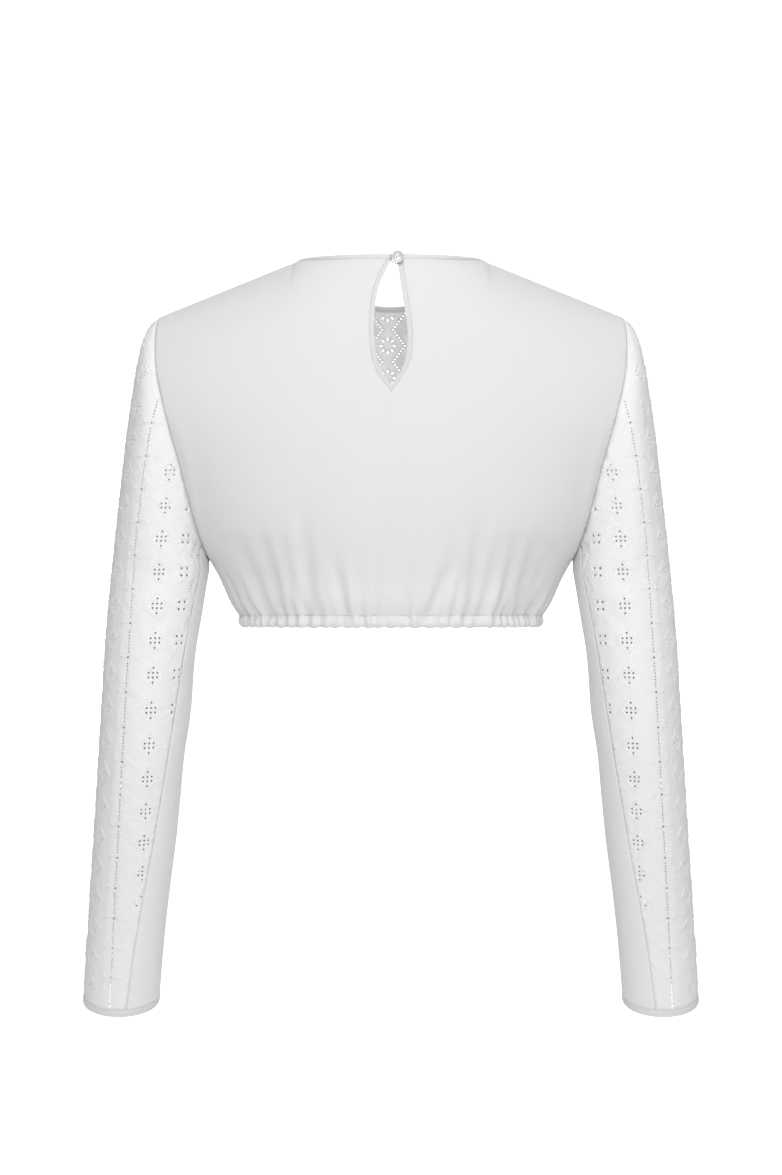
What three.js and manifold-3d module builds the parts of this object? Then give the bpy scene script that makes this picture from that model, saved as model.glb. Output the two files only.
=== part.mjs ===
// Dirndl blouse: cropped, long-sleeved cotton blouse with a keyhole back, in its worn, hollow form.
// Millimetres, +Z up. The wearer's back faces -Y, the front +Y. The origin lies midway between the
// two points where the neckline meets the shoulder seams.
import * as THREE from "three";
import { mergeVertices } from "three/addons/utils/BufferGeometryUtils.js";
import Module from "manifold-3d";

// Cloth
const WALL = 1.4;
const SEAM_GAP = 0.3;
const BAND_RISE = 0.3;
const BAND_WALL = 2;

// Neckline and shoulders
const NECK_HALF_WIDTH = 78;
const NECK_BACK_DEPTH = 60;
const NECK_FRONT_DEPTH = 75;
const NECK_FRONT_DROP = 35;
const NECK_BAND = 4;
const NECK_LEAN = { back: 0.42, front: 0.38 };
const NECK_FALL = 0.92;
const NECK_DIP_POWER = 1.6;
const SHOULDER_TIP_X = 196.6;
const SHOULDER_SLOPE = THREE.MathUtils.degToRad(22.2);
const SHOULDER_ROUNDING = 70;

// Body
const UNDERARM_Z = -261;
const HEM_Z = -310;
const CASING_HEIGHT = 9.5;
const CUFF_HEM = 6;
const BUST = { apartHalf: 82, height: -225, spread: 46, rise: 7 };

// Sampling of the walls
const ARMHOLE_STEPS = 12;
const UNDERARM_STEPS = 3;
const UNDERARM_REACH = 30;
const SIDE_STEPS = 6;
const FINE_FROM_STEP = 12;
const CAP_STEPS = 9;
const ARM_STEPS = 9;
const NECK_COLUMNS = 6;
const SHOULDER_COLUMNS = 7;

// Depth of the torso at the centre line, for each 40 mm down from the neck-shoulder points.
const torso = [
  { down: 0, back: 60, front: 64 },
  { down: 40, back: 78.5, front: 77 },
  { down: 80, back: 92, front: 90 },
  { down: 120, back: 101, front: 102.5 },
  { down: 160, back: 106.5, front: 113.5 },
  { down: 200, back: 107.5, front: 121 },
  { down: 240, back: 104, front: 122.5 },
  { down: 280, back: 97, front: 112 },
  { down: 320, back: 89, front: 95 },
];

// How far a panel turns from the centre to its edge, from the shoulder to the underarm.
const wrap = [{ degrees: 50 }, { degrees: 57 }, { degrees: 64 }, { degrees: 73 }, { degrees: 90 }];

// Seam lines on the wearer's right, from the shoulder tip to the underarm and on to the hem.
const armholeBack = [
  { x: 196.6, y: 2, z: -48.4 },
  { x: 200.6, y: -14, z: -51.5 },
  { x: 202.8, y: -29, z: -62 },
  { x: 202.8, y: -43, z: -82 },
  { x: 200.5, y: -53, z: -104 },
  { x: 192, y: -59, z: -141 },
  { x: 180.5, y: -53, z: -182 },
  { x: 169, y: -37, z: -228 },
  { x: 161, y: -15, z: -254 },
  { x: 158, y: 5, z: -261 },
];
const armholeFront = [
  { x: 196.6, y: 2, z: -48.4 },
  { x: 198.5, y: 16, z: -53 },
  { x: 195, y: 34, z: -72 },
  { x: 187, y: 47, z: -105 },
  { x: 179, y: 52, z: -145 },
  { x: 172, y: 49, z: -185 },
  { x: 166, y: 38, z: -222 },
  { x: 160.5, y: 20, z: -250 },
  { x: 158, y: 5, z: -261 },
];
const sideSeam = [
  { x: 158, y: 5, z: -261 },
  { x: 151.6, y: 5, z: -272 },
  { x: 145, y: 4, z: -284.5 },
  { x: 137.5, y: 3, z: -298 },
  { x: 130.3, y: 2.5, z: -309.7 },
];

// Sleeve cap: share of the way out and down from the armhole to the biceps ring.
const cap = [
  { out: 0, down: 0 },
  { out: 0.16, down: 0.025 },
  { out: 0.28, down: 0.062 },
  { out: 0.37, down: 0.115 },
  { out: 0.47, down: 0.205 },
  { out: 0.58, down: 0.33 },
  { out: 0.69, down: 0.48 },
  { out: 0.79, down: 0.64 },
  { out: 0.9, down: 0.82 },
  { out: 1, down: 1 },
];
const CAP_FULLNESS = { out: 4.8, deep: 2.4 };

// Rings of the arm from the biceps to the cuff; seamBack and seamFront say where the under sleeve
// begins, in degrees round from the outermost point.
const arm = [
  { z: -269.8, x: 200.6, y: 4, lean: 0, halfWidth: 42.5, halfDepth: 54, seamBack: 149, seamFront: 149 },
  { z: -300, x: 204.8, y: 4, lean: 1, halfWidth: 41.3, halfDepth: 53, seamBack: 146, seamFront: 148 },
  { z: -335, x: 208.8, y: 4.8, lean: 3, halfWidth: 40.2, halfDepth: 51.5, seamBack: 142, seamFront: 147 },
  { z: -374.4, x: 212.3, y: 7, lean: 6, halfWidth: 39.2, halfDepth: 50, seamBack: 137, seamFront: 146 },
  { z: -418.2, x: 216.4, y: 13, lean: 11, halfWidth: 38.2, halfDepth: 48, seamBack: 131, seamFront: 145 },
  { z: -462.4, x: 220.8, y: 23, lean: 14, halfWidth: 37.2, halfDepth: 45.5, seamBack: 125, seamFront: 144 },
  { z: -507.1, x: 225.2, y: 35, lean: 16, halfWidth: 36.5, halfDepth: 43, seamBack: 118, seamFront: 143 },
  { z: -552.2, x: 230.5, y: 48.5, lean: 17, halfWidth: 35.3, halfDepth: 40.5, seamBack: 112, seamFront: 142 },
  { z: -597.7, x: 235.5, y: 63, lean: 18, halfWidth: 34.6, halfDepth: 38, seamBack: 106, seamFront: 141 },
  { z: -653.1, x: 240.5, y: 82, lean: 19, halfWidth: 33.9, halfDepth: 35.5, seamBack: 100, seamFront: 140 },
];

// Gathers of the back above the casing: place across at the hem, depth of the trough, and how far
// up it reaches.
const backGathers = [
  { across: -129.6, depth: 1.6, reach: 35 },
  { across: -127.4, depth: 2, reach: 40 },
  { across: -123.5, depth: 2.5, reach: 60 },
  { across: -114.8, depth: 2, reach: 50 },
  { across: -105.3, depth: 1.6, reach: 35 },
  { across: -94.9, depth: 2.2, reach: 75 },
  { across: -82.8, depth: 1.6, reach: 30 },
  { across: -73.2, depth: 2, reach: 55 },
  { across: -58.5, depth: 1.8, reach: 30 },
  { across: -48.1, depth: 1.5, reach: 24 },
  { across: -39.4, depth: 2.2, reach: 45 },
  { across: -23.8, depth: 1.2, reach: 25 },
  { across: -14.3, depth: 1.8, reach: 76 },
  { across: -2.2, depth: 1.2, reach: 22 },
  { across: 13.4, depth: 1.8, reach: 35 },
  { across: 23, depth: 1.1, reach: 25 },
  { across: 34.2, depth: 1.2, reach: 22 },
  { across: 42.9, depth: 1.8, reach: 45 },
  { across: 52.4, depth: 1.6, reach: 60 },
  { across: 65.4, depth: 1.2, reach: 30 },
  { across: 77.6, depth: 2, reach: 75 },
  { across: 88, depth: 1.6, reach: 60 },
  { across: 98.4, depth: 1.8, reach: 45 },
  { across: 109.6, depth: 2.2, reach: 60 },
  { across: 119.2, depth: 2.4, reach: 50 },
  { across: 126.4, depth: 2, reach: 40 },
  { across: 129.3, depth: 1.6, reach: 35 },
];
const FRONT_GATHERS = 27;

// Keyhole: its left and right edge for each height, from the neckline to the pointed tip.
const keyhole = [
  { z: 4, left: 1.4, right: 3.8 },
  { z: -3, left: 1.4, right: 4 },
  { z: -9, left: -1.5, right: 5.8 },
  { z: -18, left: -6.2, right: 7 },
  { z: -30, left: -10.6, right: 8.8 },
  { z: -45, left: -13.3, right: 11 },
  { z: -64, left: -14.2, right: 13.5 },
  { z: -80, left: -13.4, right: 13.6 },
  { z: -94, left: -11.2, right: 11.6 },
  { z: -104, left: -7, right: 7 },
];
const KEYHOLE_TIP = { x: 0.4, z: -113.4 };
const KEYHOLE_BINDING = 4.6;
const BINDING_ROWS = 10;
const TIP_LET_OUT = 1.6;
const SLIT = { from: -130, depth: 100 };

// Button and loop
const BUTTON = { x: 5.9, z: -2.9, radius: 5.4, thickness: 2.2, rim: 1, dish: 0.7, round: 0.6 };
const HOLES = { radius: 0.8, apart: 3.2 };
const HOLES_TILT = THREE.MathUtils.degToRad(16);
const SHANK = { radius: 1.3, length: 2.2 };
const LOOP = { cordRadius: 0.5, radius: 6.3, from: 165, to: 305, apart: 20 };
const NAPE_SLOPE = 0.47;

const wasm = await Module();
wasm.setup();

// Catmull-Rom reading of a table whose rows are evenly spaced: share 0 is the first row, 1 the last.
function reader(rows) {
  const columns = Object.keys(rows[0]);
  const last = rows.length - 1;
  return (share) => {
    const place = THREE.MathUtils.clamp(share, 0, 1) * last;
    const i = Math.min(Math.floor(place), last - 1);
    const t = place - i;
    const read = {};
    for (const name of columns) {
      const a = rows[i][name];
      const b = rows[i + 1][name];
      const before = i > 0 ? rows[i - 1][name] : 2 * a - b;
      const after = i + 2 <= last ? rows[i + 2][name] : 2 * b - a;
      const slopeA = (b - before) / 2;
      const slopeB = (after - a) / 2;
      read[name] =
        a * (2 * t ** 3 - 3 * t ** 2 + 1) +
        slopeA * (t ** 3 - 2 * t ** 2 + t) +
        b * (3 * t ** 2 - 2 * t ** 3) +
        slopeB * (t ** 3 - t ** 2);
    }
    return read;
  };
}

const torsoAt = reader(torso);
const wrapAt = reader(wrap);
const capAt = reader(cap);
const armAt = reader(arm);
const sideSeamAt = reader(sideSeam);
const curveOf = (rows) => new THREE.CatmullRomCurve3(rows.map((p) => new THREE.Vector3(p.x, p.y, p.z)));
const armhole = { back: curveOf(armholeBack), front: curveOf(armholeFront) };
const facing = { back: -1, front: 1 };
const neckDepth = { back: NECK_BACK_DEPTH, front: NECK_FRONT_DEPTH };
const neckDrop = { back: 0, front: NECK_FRONT_DROP };
const degrees = THREE.MathUtils.degToRad;

// The share across a panel at which the neckline's corner lies, on the panel's top edge.
const topWrap = degrees(wrap[0].degrees);
const cornerReach = NECK_HALF_WIDTH + (NECK_BAND + SEAM_GAP) * Math.cos(SHOULDER_SLOPE);
const CORNER = Math.asin((cornerReach * Math.sin(topWrap)) / SHOULDER_TIP_X) / topWrap;

// A point `down` millimetres below the neckline's edge, at a turn from the centre (0) to the
// shoulder seam (90 degrees): an ellipse in plan whose edge steps down the cloth.
function neckline(side, turn, down) {
  const outward = Math.sin(turn);
  const centre = Math.abs(Math.cos(turn));
  const lift = down * (NECK_FALL * centre ** 2 + Math.sin(SHOULDER_SLOPE) * outward ** 2);
  return new THREE.Vector3(
    (NECK_HALF_WIDTH + down * Math.cos(SHOULDER_SLOPE)) * outward,
    facing[side] * (neckDepth[side] + NECK_LEAN[side] * down) * centre,
    -neckDrop[side] * centre ** NECK_DIP_POWER - lift,
  );
}

// The top edge of a panel: the neckline's lower edge, then the straight shoulder seam.
function topEdge(side, across) {
  const x = (SHOULDER_TIP_X * Math.sin(Math.abs(across) * topWrap)) / Math.sin(topWrap);
  if (x <= cornerReach) {
    return neckline(side, Math.asin(Math.min(1, x / cornerReach)), NECK_BAND + SEAM_GAP);
  }
  const along = (x - cornerReach) / (SHOULDER_TIP_X - cornerReach);
  return new THREE.Vector3(x, armholeBack[0].y * along, -(x - NECK_HALF_WIDTH) * Math.tan(SHOULDER_SLOPE));
}

// The edge of a panel on the wearer's right: the armhole for 0 to 1, the side seam for 1 to 2.
function sideEdge(side, down) {
  if (down <= 1) return armhole[side].getPointAt(down);
  const p = sideSeamAt(down - 1);
  return new THREE.Vector3(p.x, p.y, p.z);
}

// A panel's surface. `across` runs from -1 to 1, `down` from the top edge (0) past the underarm (1)
// to the hem (2). Each level is an arc from the centre line's depth to the side edge; near the top
// the arc is bent to the neckline and shoulder seam, by an amount that fades in a quarter circle.
function panel(side, across, down) {
  const edge = sideEdge(side, down);
  const fall = Math.min(1, (armholeBack[0].z - edge.z) / (armholeBack[0].z - UNDERARM_Z));
  const turn = down < 1 ? degrees(wrapAt(fall).degrees) : Math.PI / 2;
  const top = topEdge(side, across);
  const centreTop = topEdge(side, 0);
  const centreZ = down < 1 ? THREE.MathUtils.lerp(centreTop.z, UNDERARM_Z, fall) : edge.z;
  const depthAt = (z) => facing[side] * torsoAt(-z / torso.at(-1).down)[side];
  const angle = Math.abs(across) * turn;
  const share = (Math.cos(angle) - Math.cos(turn)) / (1 - Math.cos(turn));
  let y = THREE.MathUtils.lerp(edge.y, depthAt(centreZ), share);
  const drop = (centreTop.z - UNDERARM_Z) * fall;
  if (down < 1 && drop < SHOULDER_ROUNDING) {
    const topShare = (Math.cos(Math.abs(across) * topWrap) - Math.cos(topWrap)) / (1 - Math.cos(topWrap));
    const plain = THREE.MathUtils.lerp(armholeBack[0].y, depthAt(centreTop.z), topShare);
    y += (top.y - plain) * (1 - Math.sqrt(1 - (1 - drop / SHOULDER_ROUNDING) ** 2));
  }
  const x = (edge.x * Math.sin(angle)) / Math.sin(turn);
  const z = down < 1 ? THREE.MathUtils.lerp(top.z, UNDERARM_Z, fall) : edge.z;
  if (side === "front") {
    const near = Math.hypot(x - BUST.apartHalf, z - BUST.height) / BUST.spread;
    y += BUST.rise * Math.exp(-(near ** 2)) * share;
  }
  return new THREE.Vector3(Math.sign(across || 1) * x, y, z);
}

// A ring of the arm: an ellipse across the arm's lean. `round` is 0 at the outermost point and
// grows over the back (or front) to 180 degrees at the innermost.
function armPoint(side, round, along) {
  const ring = armAt(along);
  const lean = degrees(ring.lean);
  const deep = facing[side] * ring.halfDepth * Math.sin(round);
  return new THREE.Vector3(
    ring.x + ring.halfWidth * Math.cos(round),
    ring.y + deep * Math.cos(lean),
    ring.z + deep * Math.sin(lean),
  );
}

// The share of the armhole at which the under sleeve begins.
const UNDER_FROM = {
  back: 1 - UNDERARM_REACH / armhole.back.getLength(),
  front: 1 - UNDERARM_REACH / armhole.front.getLength(),
};

// The right sleeve's surface. `share` runs along the armhole from shoulder (0) to underarm (1);
// `down` runs over the cap (0 to 1) and then along the arm (1 to 2).
function sleeve(side, share, down) {
  const along = Math.max(0, down - 1);
  const ring = armAt(along);
  const seam = degrees(side === "back" ? ring.seamBack : ring.seamFront);
  const from = UNDER_FROM[side];
  const round =
    share < from
      ? (seam * share) / from
      : THREE.MathUtils.mapLinear(share, from, 1, seam, Math.PI);
  const target = armPoint(side, round, along);
  if (down >= 1) return target;
  const start = armhole[side].getPointAt(THREE.MathUtils.clamp(share, 0, 1));
  const way = capAt(down);
  const full = Math.sin(round) ** 2 * 4 * down * (1 - down);
  return new THREE.Vector3(
    THREE.MathUtils.lerp(start.x, target.x, way.out) + full * CAP_FULLNESS.out,
    THREE.MathUtils.lerp(start.y, target.y, way.down) + facing[side] * full * CAP_FULLNESS.deep,
    THREE.MathUtils.lerp(start.z, target.z, way.down),
  );
}

// The outward normal of a surface of two parameters, by small differences kept inside its range.
function normalOf(surface, u, v, uRange, vRange, sign) {
  const step = 1e-3;
  const slope = (range, at, point) =>
    point(Math.min(range[1], at + step)).sub(point(Math.max(range[0], at - step)));
  const du = slope(uRange, u, (a) => surface(a, v));
  const dv = slope(vRange, v, (a) => surface(u, a));
  return du.cross(dv).normalize().multiplyScalar(sign);
}
function panelNormal(side, across, down) {
  const range = down < 1 ? [0, 1] : [1, 2];
  return normalOf((u, v) => panel(side, u, v), across, down, [-1, 1], range, facing[side]);
}
function sleeveNormal(side, share, down) {
  return normalOf((u, v) => sleeve(side, u, v), share, down, [0, 1], [0, 2], -facing[side]);
}

// Seam frames: `out` is the normal that both pieces share, `over` points across the seam.
function armholeFrame(side, share) {
  const out = panelNormal(side, 1, Math.min(share, 0.999)).add(sleeveNormal(side, share, 0));
  if (share === 0 || share === 1) {
    const other = side === "back" ? "front" : "back";
    out.add(panelNormal(other, 1, Math.min(share, 0.999))).add(sleeveNormal(other, share, 0));
    out.y = 0;
  }
  out.normalize();
  const ahead = armhole[side].getTangentAt(THREE.MathUtils.clamp(share, 0.001, 0.999));
  if (share === 0 || share === 1) ahead.set(0, 1, 0);
  const over = out.clone().cross(ahead).normalize();
  if (over.x < 0) over.negate();
  return { out, over };
}
function seamFrame(across, down) {
  const out = panelNormal("back", across, down).add(panelNormal("front", across, down));
  out.y = 0;
  out.normalize();
  return { out, over: new THREE.Vector3(0, 1, 0) };
}
const shoulderNormal = (across) =>
  new THREE.Vector3(Math.sign(across) * Math.sin(SHOULDER_SLOPE), 0, Math.cos(SHOULDER_SLOPE));

function necklineNormal(side, turn) {
  const sign = Math.sign(turn || 1);
  const at = Math.min(Math.abs(turn), Math.PI / 2 - 1e-3);
  const out = normalOf((u, v) => neckline(side, u, v), at, 1, [0, Math.PI / 2], [0, 9], facing[side]);
  out.lerp(shoulderNormal(1), Math.sin(at) ** 8).normalize();
  out.x *= sign;
  return out;
}

// The outer surface of a closed wall and its inner side, as rows of points; rows may differ in
// how many points they have, and `at` says where along the row each point lies.
function cloth(rows, ring = false) {
  const points = [];
  const index = [];
  const outerOf = [];
  const innerOf = [];
  for (const row of rows) {
    outerOf.push(row.map((p) => points.push(p.outer) - 1));
    innerOf.push(row.map((p) => points.push(p.inner) - 1));
  }
  const face = (a, b, c) => index.push(a, b, c);
  const zip = (ids, i, flip) => {
    const upper = [...ids[i]];
    const lower = [...ids[i + 1]];
    const upperAt = rows[i].map((p) => p.at);
    const lowerAt = rows[i + 1].map((p) => p.at);
    if (ring) {
      upper.push(upper[0]);
      lower.push(lower[0]);
      upperAt.push(Infinity);
      lowerAt.push(Infinity);
    }
    let a = 0;
    let b = 0;
    while (a < upper.length - 1 || b < lower.length - 1) {
      const moreUpper = a < upper.length - 1;
      const nextUpper = moreUpper ? upperAt[a + 1] : Infinity;
      const nextLower = b < lower.length - 1 ? lowerAt[b + 1] : Infinity;
      const takeUpper = moreUpper && (nextUpper < nextLower || (nextUpper === nextLower && a <= b));
      const corner = takeUpper ? upper[a + 1] : lower[b + 1];
      if (flip) face(upper[a], corner, lower[b]);
      else face(upper[a], lower[b], corner);
      if (takeUpper) a += 1;
      else b += 1;
    }
  };
  for (let i = 0; i + 1 < rows.length; i += 1) {
    zip(outerOf, i, false);
    zip(innerOf, i, true);
  }
  const rim = (outer, inner, flip) => {
    for (let i = 0; i + 1 < outer.length; i += 1) {
      const quad = [outer[i], outer[i + 1], inner[i + 1], inner[i]];
      if (flip) quad.reverse();
      face(quad[0], quad[1], quad[2]);
      face(quad[0], quad[2], quad[3]);
    }
  };
  const closed = (ids) => (ring ? [...ids, ids[0]] : ids);
  rim(closed(outerOf[0]), closed(innerOf[0]), false);
  rim(closed(outerOf.at(-1)), closed(innerOf.at(-1)), true);
  if (!ring) {
    rim(outerOf.map((ids) => ids[0]), innerOf.map((ids) => ids[0]), true);
    rim(outerOf.map((ids) => ids.at(-1)), innerOf.map((ids) => ids.at(-1)), false);
  }
  const geometry = new THREE.BufferGeometry();
  const places = points.flatMap((p) => p.toArray());
  geometry.setAttribute("position", new THREE.Float32BufferAttribute(places, 3));
  geometry.setIndex(index);
  return facingOut(geometry);
}

// Turns every face round if the closed surface's volume comes out negative.
function facingOut(geometry) {
  const p = geometry.getAttribute("position");
  const index = geometry.index.array;
  let volume = 0;
  const corner = [new THREE.Vector3(), new THREE.Vector3(), new THREE.Vector3()];
  for (let i = 0; i < index.length; i += 3) {
    corner.forEach((c, k) => c.fromBufferAttribute(p, index[i + k]));
    volume += corner[0].dot(corner[1].clone().cross(corner[2]));
  }
  if (volume < 0) {
    for (let i = 0; i < index.length; i += 3) [index[i + 1], index[i + 2]] = [index[i + 2], index[i + 1]];
  }
  return geometry;
}

const pair = (point, out, at, rise = 0, wall = WALL) => ({
  at,
  outer: point.clone().addScaledVector(out, rise),
  inner: point.clone().addScaledVector(out, rise - wall),
});

// Gathers as troughs in shares across the panel. Those of the front are set by even steps that
// drift a little, with depths and reaches that swell and fade.
const acrossAtHem = (x) => Math.asin(x / sideSeam.at(-1).x) / (Math.PI / 2);
const gathers = {
  back: backGathers.map((g) => ({ at: acrossAtHem(g.across), depth: g.depth, reach: g.reach })),
  front: Array.from({ length: FRONT_GATHERS }, (_, k) => ({
    at: -0.94 + (k * 1.88) / (FRONT_GATHERS - 1) + 0.009 * Math.sin(3.1 * k),
    depth: 1.7 + 0.6 * Math.sin(2.3 * k),
    reach: 45 + 25 * Math.sin(1.7 * k + 1),
  })),
};

// Places across a panel: troughs and the crests midway between them, or the coarse upper places.
function fineColumns(side) {
  const troughs = gathers[side].map((g) => g.at);
  const crests = troughs.slice(1).map((at, i) => (at + troughs[i]) / 2);
  return [-1, ...troughs, ...crests, 1].sort((a, b) => a - b);
}
function coarseColumns() {
  const half = [];
  for (let i = 1; i <= NECK_COLUMNS; i += 1) half.push((CORNER * i) / NECK_COLUMNS);
  for (let i = 1; i <= SHOULDER_COLUMNS; i += 1) half.push(CORNER + ((1 - CORNER) * i) / SHOULDER_COLUMNS);
  return [...half.map((a) => -a).reverse(), 0, ...half];
}

// How far a gather pulls the cloth in at a place across and a height above the casing.
function gatherDepth(side, across, height) {
  const trough = gathers[side].find((g) => Math.abs(g.at - across) < 1e-6);
  if (!trough || height > trough.reach) return 0;
  return trough.depth * (1 - height / trough.reach) ** 2;
}

// The shares of the way down a panel's edge at which its rows lie.
function panelSteps(side) {
  const steps = [];
  for (let i = 0; i <= ARMHOLE_STEPS; i += 1) steps.push((UNDER_FROM[side] * i) / ARMHOLE_STEPS);
  for (let i = 1; i <= UNDERARM_STEPS; i += 1) {
    steps.push(i === UNDERARM_STEPS ? 1 : UNDER_FROM[side] + ((1 - UNDER_FROM[side]) * i) / UNDERARM_STEPS);
  }
  for (let i = 1; i <= SIDE_STEPS; i += 1) steps.push(1 + i / SIDE_STEPS);
  return steps;
}

function panelPoint(side, across, down) {
  const point = panel(side, across, down);
  const mirror = Math.sign(across);
  const half = SEAM_GAP / 2;
  let out = panelNormal(side, across, down);
  const flipped = (v) => new THREE.Vector3(v.x * mirror, v.y, v.z);
  if (down === 0) {
    out = Math.abs(across) < CORNER - 1e-6 ? necklineNormal(side, turnOf(across)) : shoulderNormal(across);
    if (Math.abs(across) > CORNER - 1e-6) point.y += facing[side] * half;
  }
  if (Math.abs(across) === 1) {
    if (down <= 1) {
      const frame = armholeFrame(side, down);
      out = flipped(frame.out);
      point.addScaledVector(flipped(frame.over), -half);
    }
    if (down >= 1) {
      if (down > 1) out = flipped(seamFrame(1, down).out);
      point.y += facing[side] * half;
    }
  }
  return { point, out };
}

function panelRows(side, rise = 0, wall = WALL, lastStep = Infinity) {
  return panelSteps(side)
    .slice(0, lastStep)
    .map((down, step) =>
      (step < FINE_FROM_STEP ? coarseColumns() : fineColumns(side)).map((across) => {
        const { point, out } = panelPoint(side, across, down);
        const pull = gatherDepth(side, across, point.z - HEM_Z);
        return pair(point, out, across, rise - pull, wall);
      }),
    );
}

// The elastic casing: the gathers run on through it, and its lower edge rolls inward.
const CASING_PULL = { outer: 0.6, inner: 0.3 };
function casingRows(side) {
  const section = [
    { down: 0, outer: 0.5, inner: -2 },
    { down: 0.35, outer: 0.9, inner: -2.4 },
    { down: 0.7, outer: 0, inner: -3.2 },
    { down: 1, outer: -2.2, inner: -4.2 },
  ];
  return section.map((row) =>
    fineColumns(side).map((across) => {
      const { point, out } = panelPoint(side, across, 2);
      const level = new THREE.Vector3(out.x, out.y, 0).normalize();
      point.z = HEM_Z - CASING_HEIGHT * row.down;
      const depth = gatherDepth(side, across, 0);
      return {
        at: across,
        outer: point.clone().addScaledVector(level, row.outer - CASING_PULL.outer * depth),
        inner: point.clone().addScaledVector(level, row.inner - CASING_PULL.inner * depth),
      };
    }),
  );
}

// The turn round the neckline of a place across the panel's top edge.
function turnOf(across) {
  const x = (SHOULDER_TIP_X * Math.sin(across * topWrap)) / Math.sin(topWrap);
  return Math.asin(THREE.MathUtils.clamp(x / cornerReach, -1, 1));
}

// The narrow turned edge of the neckline, on the same columns as the panel below it.
function neckBandRows(side) {
  const columns = coarseColumns().filter((across) => Math.abs(across) < CORNER + 1e-6);
  return [0, NECK_BAND].map((down) =>
    columns.map((across, i) => {
      const turn = turnOf(across);
      const point = neckline(side, turn, down);
      const atSeam = i === 0 || i === columns.length - 1;
      if (atSeam) point.y += (facing[side] * SEAM_GAP) / 2;
      const out = atSeam ? shoulderNormal(across) : necklineNormal(side, turn);
      return pair(point, out, across, BAND_RISE, BAND_WALL);
    }),
  );
}

// Columns of the right sleeve, from the front seam of the under sleeve over the shoulder to the
// back seam, or under the arm from back seam to front seam.
function sleeveColumns(piece) {
  const outer = [];
  const steps = { front: panelSteps("front"), back: panelSteps("back") };
  for (let i = ARMHOLE_STEPS; i > 0; i -= 1) outer.push({ side: "front", share: steps.front[i] });
  for (let i = 0; i <= ARMHOLE_STEPS; i += 1) outer.push({ side: "back", share: steps.back[i] });
  if (piece === "outer") return outer;
  const under = [];
  for (let i = 0; i <= UNDERARM_STEPS; i += 1) {
    under.push({ side: "back", share: steps.back[ARMHOLE_STEPS + i] });
  }
  for (let i = UNDERARM_STEPS - 1; i >= 0; i -= 1) {
    under.push({ side: "front", share: steps.front[ARMHOLE_STEPS + i] });
  }
  return under;
}

// The share of the arm's rings that the sleeve covers, above the turned cuff hem.
const lastRing = new THREE.Vector3(0, arm.at(-1).y - arm.at(-2).y, arm.at(-1).z - arm.at(-2).z).length();
const CUFF_FROM = 2 - (CUFF_HEM + SEAM_GAP) / lastRing / (arm.length - 1);

// The direction from a sleeve's seam into its cloth, square to the seam.
const SEAM_LOOK = 0.02;
function inwardAt(columns, i, down) {
  const [here, next] = [columns[i], columns[i === 0 ? 1 : i - 1]];
  const at = Math.max(down, SEAM_LOOK);
  const seam = sleeve(here.side, here.share, at);
  const along = sleeve(here.side, here.share, at + SEAM_LOOK).sub(seam).normalize();
  const inward = sleeve(next.side, next.share, at).sub(seam);
  return inward.addScaledVector(along, -inward.dot(along)).normalize();
}

function sleeveRows(piece, mirror) {
  const columns = sleeveColumns(piece);
  const steps = [];
  for (let i = 0; i <= CAP_STEPS; i += 1) steps.push(i / CAP_STEPS);
  for (let i = 1; i <= ARM_STEPS; i += 1) steps.push(1 + ((CUFF_FROM - 1) * i) / ARM_STEPS);
  return steps.map((down) =>
    columns.map(({ side, share }, i) => {
      const point = sleeve(side, share, down);
      let out = sleeveNormal(side, share, down);
      if (share === 0 || share === 1) {
        out.add(sleeveNormal(side === "back" ? "front" : "back", share, down)).normalize();
      }
      if (down === 0) {
        const frame = armholeFrame(side, share);
        out = frame.out;
        point.addScaledVector(frame.over, SEAM_GAP / 2);
      }
      if (i === 0 || i === columns.length - 1) {
        point.addScaledVector(inwardAt(columns, i, down), SEAM_GAP / 2);
      }
      point.x *= mirror;
      out = new THREE.Vector3(out.x * mirror, out.y, out.z);
      return pair(point, out, i);
    }),
  );
}

const CUFF_NORMAL_AT = 1.95;
function cuffRows(mirror) {
  const ring = [...sleeveColumns("outer"), ...sleeveColumns("under").slice(1, -1)];
  return [CUFF_FROM + SEAM_GAP / lastRing / (arm.length - 1), 2].map((down) =>
    ring.map(({ side, share }, i) => {
      const point = sleeve(side, share, down);
      const out = sleeveNormal(side, share, CUFF_NORMAL_AT);
      if (share === 0 || share === 1) {
        out.add(sleeveNormal(side === "back" ? "front" : "back", share, CUFF_NORMAL_AT)).normalize();
      }
      point.x *= mirror;
      out.x *= mirror;
      return pair(point, out, i, BAND_RISE, BAND_WALL);
    }),
  );
}

// A solid for joining and cutting, from a geometry whose equal points are merged.
function solid(geometry) {
  const bare = geometry.clone();
  bare.deleteAttribute("normal");
  bare.deleteAttribute("uv");
  const merged = mergeVertices(bare, 1e-4);
  return new wasm.Manifold(
    new wasm.Mesh({
      numProp: 3,
      vertProperties: new Float32Array(merged.attributes.position.array),
      triVerts: new Uint32Array(merged.index.array),
    }),
  );
}
function geometryOf(manifold) {
  const mesh = manifold.getMesh();
  const geometry = new THREE.BufferGeometry();
  geometry.setAttribute("position", new THREE.BufferAttribute(mesh.vertProperties, 3));
  geometry.setIndex(new THREE.BufferAttribute(mesh.triVerts, 1));
  return geometry;
}

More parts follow.
